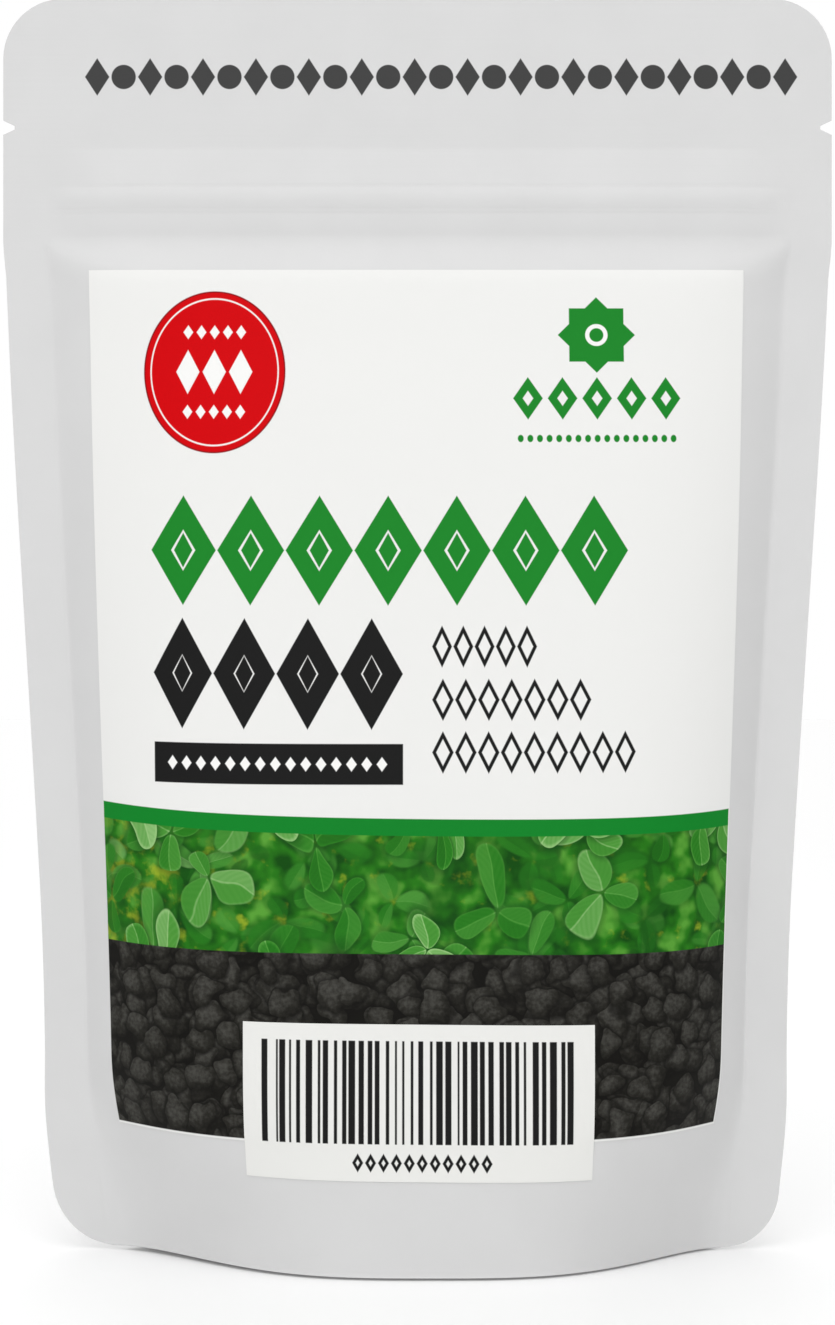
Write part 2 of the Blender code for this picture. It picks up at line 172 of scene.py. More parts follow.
@dataclass(frozen=True)
class BagForm:
    """The form of the filled pouch: where each point of the flat film lies. Metres."""

    width: float = 101.6 * MM
    height: float = 152.4 * MM
    side_seal: float = 5.2 * MM
    belly_depth: float = 16.45 * MM
    belly_top: float = 124.5 * MM
    belly_height_power: float = 1.38
    belly_root_power: float = 0.654
    shoulder_top: float = 123.6 * MM
    shoulder_foot: float = 117.8 * MM
    foot_power: float = 3.19
    middle_power: float = 4.25
    middle_foot: float = 45.0 * MM
    mitre_depth: float = 5.6 * MM
    mitre_sharpness: float = 4.0
    least_depth: float = 0.3 * MM
    foot_height: float = 24.0 * MM
    left_foot_pinch: float = 1.3
    right_foot_pinch: float = 1.22
    foot_gather: float = 1.93 * MM
    slump: float = 0.0425
    left_tuck: float = 0.19 * MM
    left_tuck_reach: float = 0.22
    side_lift: float = 0.7 * MM
    left_foot_lift: float = 0.32 * MM
    right_foot_lift: float = 0.0
    seam_softness: float = 0.35 * MM
    soft_depth: float = 5.0 * MM
    hem_height: float = 0.6 * MM
    hem_flare: float = 0.1 * MM
    header_seal_foot: float = 134.0 * MM
    zip_room: float = 0.83 * MM
    zip_room_foot: float = 108.0 * MM
    zip_room_top: float = 129.5 * MM
    zip_room_power: float = 1.05
    least_zip_room: float = 0.25
    zip_end_ramp: float = 9.0 * MM
    ridge_end_ramp: float = 4.0 * MM
    section_steps: int = 200
    halvings: int = 40
    slope_step: float = 0.02 * MM
    tiny: float = 1e-9
    ridges: tuple[ZipRidge, ...] = (
        ZipRidge(129.2 * MM, 126.5 * MM, 0.226 * MM, -0.22 * MM),
        ZipRidge(126.3 * MM, 125.95 * MM, 0.0, 0.065 * MM),
        ZipRidge(125.85 * MM, 123.2 * MM, 0.053 * MM, 0.11 * MM),
    )

    def half_film(self) -> float:
        """Half the width of film between the side seals."""
        return 0.5 * self.width - self.side_seal

    def foot_share(self, height: float) -> float:
        """1 at the foot of the pouch, 0 above the corner seals."""
        return 1.0 - float(smooth_step(height / self.foot_height))

    def belly_share(self, height: float) -> float:
        """0 in the flat header, 1 below the shoulder of the belly."""
        return float(smooth_step((self.shoulder_top - height) / (self.shoulder_top - self.shoulder_foot)))

    def belly_at(self, height: float) -> float:
        """Finds how far the middle of one face stands out.

        Args:
            height: height above the foot, in metres.

        Returns:
            The distance from the middle plane, in metres.
        """
        share = min(max(height / self.belly_top, 0.0), 1.0)
        filled = (1.0 - share**self.belly_height_power) ** self.belly_root_power
        return self.belly_depth * filled * self.belly_share(height)

    def zip_at(self, from_seal: np.ndarray, height: float) -> np.ndarray:
        """How far the film stands out over the zip, whose ends are pressed flat at the side seals.

        Args:
            from_seal: Distances from the inner edge of the side seal.
            height: The row's height on the film.

        Returns:
            How far the film stands out at each place.
        """
        down = (self.header_seal_foot - height) / (self.header_seal_foot - self.zip_room_top)
        room = self.zip_room * (1.0 - (1.0 - min(max(down, 0.0), 1.0)) ** self.zip_room_power)
        room = room * smooth_step(from_seal / self.zip_end_ramp)
        relief = sum(ridge.relief(height) for ridge in self.ridges)
        raised = room + relief * smooth_step(from_seal / self.ridge_end_ramp)
        shown = smooth_step((height - self.zip_room_foot) / (self.shoulder_top - self.zip_room_foot))
        return shown * np.maximum(raised, self.least_zip_room * room)

    def side_lift_at(self, across: np.ndarray, height: float) -> np.ndarray:
        """How far each side is drawn up at this height: less near the foot, which rests."""
        foot_lift = np.where(across < 0.0, self.left_foot_lift, self.right_foot_lift)
        return self.side_lift - (self.side_lift - foot_lift) * self.foot_share(height)

    def gather_at(self, height: float) -> float:
        """How much film is gathered in between the middle line and one side seal."""
        return self.foot_gather * self.foot_share(height)

    def hem_at(self, height: float) -> float:
        """How far the cut edge at the pouch's foot flares out."""
        return self.hem_flare * max(1.0 - height / self.hem_height, 0.0) ** 2

    def section_power(self, height: float) -> float:
        """How square the pouch's section is: rounder at its foot, and squarer where it's shallow.

        Args:
            height: The row's height on the film.

        Returns:
            The power of the section's curve. It keeps the side walls as steep near the shoulder as
            below it, so that they meet the belly's top slope along a mitre.
        """
        over_foot = float(smooth_step(height / self.middle_foot))
        power = self.foot_power + (self.middle_power - self.foot_power) * over_foot
        shallow = self.mitre_depth / max(self.belly_at(height), self.least_depth)
        return power * (1.0 + shallow**self.mitre_sharpness) ** (1.0 / self.mitre_sharpness)

    def rise(self, share: np.ndarray, height: float) -> np.ndarray:
        """The bulge across the pouch as a share of its depth, 1 near the middle and 0 at the seals.

        Args:
            share: The place across, from -1 at the left seal to 1 at the right one.
            height: The row's height on the film.

        Returns:
            The share of the depth. What the pouch holds has slumped a little to the right.
        """
        moved = np.abs(share - self.slump * (1.0 - share**2))
        pinch = np.where(share < 0.0, self.left_foot_pinch, self.right_foot_pinch)
        pinch = 1.0 + pinch * self.foot_share(height)
        return np.clip(1.0 - moved ** self.section_power(height), 0.0, 1.0) ** pinch

    @lru_cache(maxsize=None)
    def section(self, height: float, side: float) -> tuple[float, np.ndarray, np.ndarray]:
        """Bends one half of a row of film over the bulge without stretching it.

        Args:
            height: The row's height on the film.
            side: -1 for the left half, 1 for the right one.

        Returns:
            The half-width between the seals, the places across the pouch from its middle to the
            seal, and the share of the film that is used up at each place.
        """
        film_half = self.half_film() - self.gather_at(height)
        shares = np.linspace(0.0, 1.0, self.section_steps + 1)
        rise = self.belly_at(height) * self.rise(side * shares, height)
        low, high = 0.5 * film_half, film_half
        for _ in range(self.halvings):
            middle = 0.5 * (low + high)
            if np.hypot(np.diff(shares) * middle, np.diff(rise)).sum() > film_half:
                high = middle
            else:
                low = middle
        lengths = np.concatenate([[0.0], np.cumsum(np.hypot(np.diff(shares) * low, np.diff(rise)))])
        if side < 0.0:
            low -= self.left_tuck * self.foot_share(self.left_tuck_reach * height)
        return low, shares * low, lengths / lengths[-1]

    def row(self, across: np.ndarray, height: float) -> np.ndarray:
        """Places one row of the film.

        Args:
            across: Distances from the film's middle line.
            height: The row's height on the film.

        Returns:
            One point for each distance, on the inner face of the front film.
        """
        on_seal = np.maximum(np.abs(across) - self.half_film(), 0.0)
        film_share = (np.abs(across) - on_seal) / self.half_film()
        gathered = self.gather_at(height) / self.half_film()
        film_share = (film_share - gathered * film_share**3) / (1.0 - gathered)
        share, out, from_seal = np.empty((3, len(across)))
        for side in (-1.0, 1.0):
            here = (across < 0.0) == (side < 0.0)
            half_width, places, film_shares = self.section(height, side)
            reach = np.interp(film_share[here], film_shares, places)
            share[here] = side * reach / half_width
            out[here] = side * (reach + on_seal[here])
            from_seal[here] = half_width - reach
        depth = self.belly_at(height)
        soft = self.seam_softness * min(depth / self.soft_depth, 1.0) + self.tiny
        full = math.hypot(depth, soft) - soft + self.tiny
        rise = (np.hypot(depth * self.rise(share, height), soft) - soft) / full
        outward = depth * rise + self.zip_at(from_seal, height) + self.hem_at(height)
        level = height + self.side_lift_at(across, height) * (1.0 - self.belly_share(height) * rise)
        return np.stack([out, -outward, level], axis=1)

    def surface(self, across: np.ndarray, height: np.ndarray) -> np.ndarray:
        """Places points of the film, row by row.

        Args:
            across: Each point's distance from the film's middle line.
            height: Each point's height on the film.

        Returns:
            The points on the inner face of the front film.
        """
        points = np.empty((len(across), 3))
        levels, row_of = np.unique(np.round(height, 8), return_inverse=True)
        for number, level in enumerate(levels):
            on_row = row_of == number
            points[on_row] = self.row(across[on_row], float(level))
        return points

    def upward(self, across: np.ndarray, height: np.ndarray) -> np.ndarray:
        """How far each point moves as its height on the film grows by two slope steps."""
        return self.surface(across, height + self.slope_step) - self.surface(across, height - self.slope_step)

    def place(self, across: np.ndarray, height: np.ndarray, lift: np.ndarray | float) -> np.ndarray:
        """Places points that lie a little off the film's inner face.

        Args:
            across: Each point's distance from the film's middle line.
            height: Each point's height on the film.
            lift: How far outside the film's inner face each point is.

        Returns:
            The points, on the front of the pouch.
        """
        step = self.slope_step
        along = self.surface(across + step, height) - self.surface(across - step, height)
        outward = np.cross(along, self.upward(across, height))
        outward /= np.linalg.norm(outward, axis=1, keepdims=True)
        return self.surface(across, height) + outward * np.broadcast_to(lift, across.shape)[:, None]


def cuts(start: float, *stretches: Pair) -> list[float]:
    """Places that divide a sheet evenly, stretch by stretch, without its two edges.

    Args:
        start: Where the sheet starts.
        stretches: Where each stretch ends, and about how far apart its places are.

    Returns:
        The places in order.
    """
    places: list[float] = []
    for end, spacing in stretches:
        steps = max(round((end - start) / spacing), 1)
        places += [start + (end - start) * step / steps for step in range(1, steps + 1)]
        start = end
    return places[:-1]


@dataclass(frozen=True)
class FilmLines:
    """Where the film is divided, closer together where it turns. Metres."""

    form: BagForm
    open_spacing: float = 1.5 * MM
    foot_spacing: float = 1.0 * MM
    seam_spacing: float = 0.4 * MM
    seam_reach: float = 6.0 * MM
    seam_margin: float = 0.8 * MM
    zip_spacing: float = 0.24 * MM
    zip_foot_margin: float = 4.0 * MM
    zip_top_margin: float = 1.0 * MM
    groove_spacing: float = 0.1 * MM
    groove_foot: float = 125.7 * MM
    groove_top: float = 127.3 * MM
    hem_spacing: float = 0.16 * MM
    hem_margin: float = 0.2 * MM
    clear: float = 0.05 * MM

    def columns(self) -> list[float]:
        """Lists where the film is divided across.

        Returns:
            The places from the left edge to the right one, in metres.
        """
        seam = self.form.half_film()
        right = cuts(
            0.0,
            (seam - self.seam_reach, self.open_spacing),
            (seam + self.seam_margin, self.seam_spacing),
            (0.5 * self.form.width, self.foot_spacing),
        )
        return [-place for place in reversed(right)] + [0.0] + right

    def rows(self) -> list[float]:
        """Heights on the film."""
        form = self.form
        return cuts(
            0.0,
            (form.hem_height + self.hem_margin, self.hem_spacing),
            (form.foot_height, self.foot_spacing),
            (form.shoulder_foot - self.zip_foot_margin, self.open_spacing),
            (form.shoulder_foot, 2.0 * self.zip_spacing),
            (self.groove_foot, self.zip_spacing),
            (self.groove_top, self.groove_spacing),
            (form.header_seal_foot + self.zip_top_margin, self.zip_spacing),
            (form.height, self.open_spacing),
        )

    def within(self, lines: list[float], low: float, high: float) -> list[float]:
        """The lines that lie inside a sheet that reaches from low to high."""
        return [line for line in lines if low + self.clear < line < high - self.clear]


class Sheet:
    """A flat sheet that is cut, divided and bent with Blender's own operators."""

    def __init__(self, name: str, width: float, foot: float, top: float, centre: float = 0.0) -> None:
        """Cuts a flat upright rectangle at its size and place on the film.

        Args:
            name: The piece's name.
            width: Its width.
            foot: The height of its lower edge.
            top: The height of its upper edge.
            centre: Its distance from the film's middle line.
        """
        bpy.ops.object.select_all(action="DESELECT")
        bpy.ops.mesh.primitive_plane_add(size=1.0, location=(centre, 0.0, 0.5 * (foot + top)),
                                         rotation=(0.5 * math.pi, 0.0, 0.0))
        self.piece = bpy.context.object
        self.piece.name = name
        self.piece.data.name = name
        self.piece.scale = (width, top - foot, 1.0)
        bpy.ops.object.transform_apply(location=True, rotation=True, scale=True)

    def edit(self, change: Callable[..., object], wanted: Callable[[float, float], bool] | None = None,
             **settings: object) -> None:
        """Changes the sheet with one of Blender's mesh operators.

        Args:
            change: The operator.
            wanted: Tells from a point's place across and height if it's selected, or None for all.
            settings: The operator's settings.
        """
        bpy.ops.object.mode_set(mode="EDIT")
        if wanted is None:
            bpy.ops.mesh.select_all(action="SELECT")
        else:
            bpy.ops.mesh.select_mode(type="VERT")
            mesh = bmesh.from_edit_mesh(self.piece.data)
            for point in mesh.verts:
                point.select_set(wanted(point.co.x, point.co.z))
            mesh.select_flush_mode()
            bmesh.update_edit_mesh(self.piece.data)
        change(**settings)
        bpy.ops.object.mode_set(mode="OBJECT")

    def divide(self, columns: list[float], rows: list[float]) -> None:
        """Bisects the flat sheet along each column and each row.

        Args:
            columns: places across the sheet, in metres.
            rows: places up the sheet, in metres.
        """
        bpy.ops.object.mode_set(mode="EDIT")
        lines = [((column, 0.0, 0.0), (1.0, 0.0, 0.0)) for column in columns]
        lines += [((0.0, 0.0, row), (0.0, 0.0, 1.0)) for row in rows]
        for place, direction in lines:
            bpy.ops.mesh.select_all(action="SELECT")
            bpy.ops.mesh.bisect(plane_co=place, plane_no=direction)
        bpy.ops.object.mode_set(mode="OBJECT")

    def points(self) -> np.ndarray:
        """Reads the sheet's points.

        Returns:
            One row of three coordinates for each point.
        """
        flat = np.empty(len(self.piece.data.vertices) * 3)
        self.piece.data.vertices.foreach_get("co", flat)
        return flat.reshape(-1, 3)

    def move_points(self, points: np.ndarray) -> None:
        """Puts the sheet's points at new places."""
        self.piece.data.vertices.foreach_set("co", points.ravel())
        self.piece.data.update()

    def keep_film_place(self) -> None:
        """Stores where each point was on the flat film, in millimetres, for the materials."""
        flat = self.points()[:, (0, 2, 1)] / MM
        place = self.piece.data.attributes.new(FILM_PLACE, "FLOAT_VECTOR", "POINT")
        place.data.foreach_set("vector", flat.ravel().astype(np.float32))

    def bend(self, form: BagForm, side: Side, lift: np.ndarray | float, tilt: float = 0.0) -> None:
        """Bends the flat sheet onto one face of the pouch.

        Args:
            form: The pouch's form.
            side: The face that it lies on.
            lift: How far it lies off the film's inner face.
            tilt: How steeply it climbs to the right.
        """
        self.keep_film_place()
        across, _, height = self.points().T
        points = form.place(across, height, lift)
        if tilt:
            points += form.upward(across, height) * (0.5 / form.slope_step * tilt * across[:, None])
        points[:, 1] *= side.value
        self.move_points(points)
        if side is Side.BACK:
            self.edit(bpy.ops.mesh.flip_normals)

    def thicken(self, thickness: float) -> None:
        """Gives the sheet its thickness, outwards.

        Args:
            thickness: the film's or paper's thickness, in metres.
        """
        wall = self.piece.modifiers.new("Thickness", "SOLIDIFY")
        wall.thickness = thickness
        wall.offset = 1.0
        bpy.ops.object.modifier_apply(modifier=wall.name)
        bpy.ops.object.shade_smooth_by_angle(angle=math.radians(SHARP_DEGREES))

    def dress(self, material: bpy.types.Material, slot: str, *replaced: str) -> None:
        """Gives the piece its material and its place in the frame.

        Args:
            material: what the piece is made of.
            slot: the name of the material's slot, which is not used.
            replaced: the nodes of the solids that the piece stands for.
        """
        self.piece.data.materials.clear()
        self.piece.data.materials.append(material)
        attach(self.piece, "root")
        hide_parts(*replaced)
        log.info("%s: %d faces", self.piece.name, len(self.piece.data.polygons))


def faded(tree: Tree, value: Socket, low: float, high: float, at_low: float, at_high: float) -> Socket:
    """Takes a value smoothly from one level to another as it goes from low to high."""
    levels = (value, low, high, at_low, at_high)
    return add_node(tree, "MapRange", levels, interpolation_type="SMOOTHSTEP")


def summed(tree: Tree, total: Input, *parts: tuple[Socket, float]) -> Input:
    """Adds parts to a level.

    Args:
        tree: The material's node tree.
        total: The level to start from.
        parts: Each part and its weight.

    Returns:
        The sum.
    """
    for value, weight in parts:
        total = add_node(tree, "Math", (value, weight, total), operation="MULTIPLY_ADD")
    return total


def painted(tree: Tree, under: Input, *coats: tuple[Socket, str | Socket]) -> Input:
    """Paints colours one over another.

    Args:
        tree: The material's node tree.
        under: The colour that is painted over.
        coats: Each coat's mask, which is 1 where it covers, and its colour or painted picture.

    Returns:
        The colour with its coats.
    """
    for mask, coat in coats:
        over = linear(coat) if isinstance(coat, str) else coat
        under = add_node(tree, "Mix", {0: mask, 6: under, 7: over}, data_type="RGBA")
    return under


def ramp(tree: Tree, value: Socket, *stops: Stop) -> Socket:
    """Turns a value from 0 to 1 into a colour between the colours of its stops.

    Args:
        tree: The material's node tree.
        value: The value.
        stops: Each stop's place and colour, in order.

    Returns:
        The colour.
    """
    colour = add_node(tree, "ValToRGB", (value,))
    elements = colour.node.color_ramp.elements
    for element, (position, hex_colour) in zip(elements, (stops[0], stops[-1])):
        element.position, element.color = position, linear(hex_colour)
    for position, hex_colour in stops[1:-1]:
        elements.new(position).color = linear(hex_colour)
    return colour


def warped(tree: Tree, place: Socket, scale: float, reach: float) -> Socket:
    """Shifts a place by a smooth noise, which bends the figures drawn there.

    Args:
        tree: The material's node tree.
        place: The place on the film, in millimetres.
        scale: The noise's scale, in turns to a millimetre.
        reach: How far the widest shift is, in millimetres.

    Returns:
        The shifted place.
    """
    add = partial(add_node, tree)
    noise = add("TexNoise", {"Vector": place, "Scale": scale, "Detail": 1.0}).node.outputs["Color"]
    aside = add("VectorMath", (noise, (0.5, 0.5, 0.5)), operation="SUBTRACT")
    return add("VectorMath", (aside, (2.0 * reach, 2.0 * reach, 0.0), place), operation="MULTIPLY_ADD")


def strewn(layers: int, seed: int, net_reach: float = 90.0) -> Iterator[tuple[float, Pair]]:
    """Draws where the net of each layer of a strewn print starts.

    Args:
        layers: How many layers there are.
        seed: The seed of the draws.
        net_reach: How far a net is shifted at most, in millimetres.

    Yields:
        The layer's nearness, from 0 for the furthest to 1, and the shift of its net.
    """
    draw = random.Random(seed)
    for layer in range(layers):
        yield layer / (layers - 1), (draw.uniform(0.0, net_reach), draw.uniform(0.0, net_reach))


def spots(tree: Tree, place: Socket, spacing: float, looseness: float,
          shift: Pair) -> tuple[Socket, Socket, bpy.types.NodeOutputs]:
    """Finds the nearest of the spots that are strewn over a print, one to a cell of a loose net.

    Args:
        tree: The material's node tree.
        place: The place on the film.
        spacing: How far apart the cells are.
        looseness: How far the spots stray in their cells.
        shift: Where the net starts.

    Returns:
        The place as measured from the spot, the same turned at random, and the spot's three
        chances: Red, Green and Blue.
    """
    add = partial(add_node, tree)
    moved = add("VectorMath", (place, (*shift, 0.0)), operation="ADD")
    net = {"Vector": moved, "Scale": 1.0 / spacing, "Randomness": looseness}
    cells = add("TexVoronoi", net, voronoi_dimensions="2D").node.outputs
    chances = add("SeparateColor", (cells["Color"],)).node.outputs
    away = add("VectorMath", (moved, cells["Position"]), operation="SUBTRACT")
    angle = add("Math", (chances["Red"], math.tau), operation="MULTIPLY")
    turned = add("VectorRotate", {"Vector": away, "Angle": angle}, rotation_type="Z_AXIS")
    return away, turned, chances


@dataclass
class Ink:
    """Plain figures laid one over another on a material's colour, in millimetres on the film."""

    tree: Tree
    place: Socket
    colour: Input
    softness: float = 0.045
    row_margin: float = 1.0

    def printed(self, depth: Socket) -> Socket:
        """1 inside a figure and 0 outside it, from the depth inside its outline."""
        return add_node(self.tree, "MapRange", (depth, -self.softness, self.softness))

    def bowed(self, bow: float, slope: float) -> Socket:
        """The place as seen from lines that aren't straight.

        Args:
            bow: How fast the lines curve up to both sides.
            slope: How steeply they climb to the right.

        Returns:
            The place, moved down by what the lines climb.
        """
        add = partial(add_node, self.tree)
        axes = add("SeparateXYZ", (self.place,)).node.outputs
        rate = add("Math", (axes["X"], bow, slope), operation="MULTIPLY_ADD")
        climb = add("Math", (rate, axes["X"]), operation="MULTIPLY")
        level = add("Math", (axes["Y"], climb), operation="SUBTRACT")
        return add("CombineXYZ", (axes["X"], level))

    def around(self, centre: Pair) -> Socket:
        """The place as measured from a centre."""
        return add_node(self.tree, "VectorMath", (self.place, (*centre, 0.0)), operation="SUBTRACT")

    def depth(self, local: Socket, motif: Motif, half: Pair, stroke: float | None = None) -> Socket:
        """How far inside a figure's outline a place is.

        Args:
            local: The place as measured from the figure's middle.
            motif: The figure.
            half: Half its width and height.
            stroke: The width of its line, or None for a solid figure.

        Returns:
            The depth, below 0 outside the figure.
        """
        add = partial(add_node, self.tree)
        wide, tall = half
        shares = (1.0 / wide, 1.0 / tall, 0.0)
        diagonal = (math.sqrt(0.5), math.sqrt(0.5), 0.0)
        folded = add("VectorMath", (local,), operation="ABSOLUTE")
        if motif is Motif.DOT:
            scaled = add("VectorMath", (folded, shares), operation="MULTIPLY")
            reach = add("VectorMath", (scaled,), operation="LENGTH")
            scale = min(half)
        elif motif is Motif.LOZENGE:
            reach = add("VectorMath", (folded, shares), operation="DOT_PRODUCT")
            scale = wide * tall / math.hypot(wide, tall)
        elif motif is Motif.BAR:
            past = add("VectorMath", (folded, (wide - 1.0, tall - 1.0, 0.0)), operation="SUBTRACT")
            axes = add("SeparateXYZ", (past,)).node.outputs
            reach = add("Math", (axes["X"], axes["Y"]), operation="MAXIMUM")
            scale = 1.0
        else:
            axes = add("SeparateXYZ", (folded,)).node.outputs
            square = add("Math", (axes["X"], axes["Y"]), operation="MAXIMUM")
            turned = add("VectorMath", (folded, diagonal), operation="DOT_PRODUCT")
            nearer = add("Math", (square, turned), operation="MINIMUM")
            reach = add("Math", (nearer, wide), operation="DIVIDE")
            scale = wide
        depth = add("Math", (reach, -scale, scale), operation="MULTIPLY_ADD")
        if stroke is None:
            return depth
        aside = add("Math", (depth, 0.5 * stroke), operation="SUBTRACT")
        off_line = add("Math", (aside,), operation="ABSOLUTE")
        return add("Math", (0.5 * stroke, off_line), operation="SUBTRACT")

    def mask(self, centre: Pair, half: Pair, motif: Motif, stroke: float | None = None) -> Socket:
        """1 inside one figure and 0 outside it."""
        return self.printed(self.depth(self.around(centre), motif, half, stroke))

    def stamp(self, centre: Pair, half: Pair, motif: Motif, ink: str | Socket,
              stroke: float | None = None) -> None:
        """Prints one figure, with an ink or filled with a painted picture."""
        self.colour = painted(self.tree, self.colour, (self.mask(centre, half, motif, stroke), ink))

    def row(self, centre: Pair, length: float, height: float, count: int, ink: str, share: float,
            stroke: float | None = None, motifs: tuple[Motif, ...] = (Motif.LOZENGE,)) -> None:
        """Prints a row of figures side by side.

        Args:
            centre: The middle of the row.
            length: The row's whole length.
            height: The figures' height.
            count: How many figures there are.
            ink: Their colour.
            share: The share of its place that each figure fills.
            stroke: The width of their line, or None for solid figures.
            motifs: The figures, which take turns.
        """
        add = partial(add_node, self.tree)
        pitch = length / count
        half = (0.5 * pitch * share, 0.5 * height)
        from_centre = add("SeparateXYZ", (self.around(centre),)).node.outputs
        number = add("Math", (from_centre["X"], 1.0 / pitch, 0.5 * count), operation="MULTIPLY_ADD")
        part = add("Math", (number,), operation="FRACT")
        across = add("Math", (part, pitch, -0.5 * pitch), operation="MULTIPLY_ADD")
        local = add("CombineXYZ", (across, from_centre["Y"]))
        in_row = self.mask(centre, (0.5 * length, 0.5 * height + self.row_margin), Motif.BAR)
        whole = add("Math", (number,), operation="FLOOR")
        turn = add("Math", (whole, float(len(motifs))), operation="FLOORED_MODULO")
        for order, motif in enumerate(motifs):
            size = (min(half), min(half)) if motif is Motif.DOT and len(motifs) > 1 else half
            figure = self.printed(self.depth(local, motif, size, stroke))
            mine = add("Math", (turn, float(order), 0.5), operation="COMPARE")
            shown = add("Math", (figure, mine), operation="MULTIPLY")
            mask = add("Math", (shown, in_row), operation="MULTIPLY")
            self.colour = painted(self.tree, self.colour, (mask, ink))


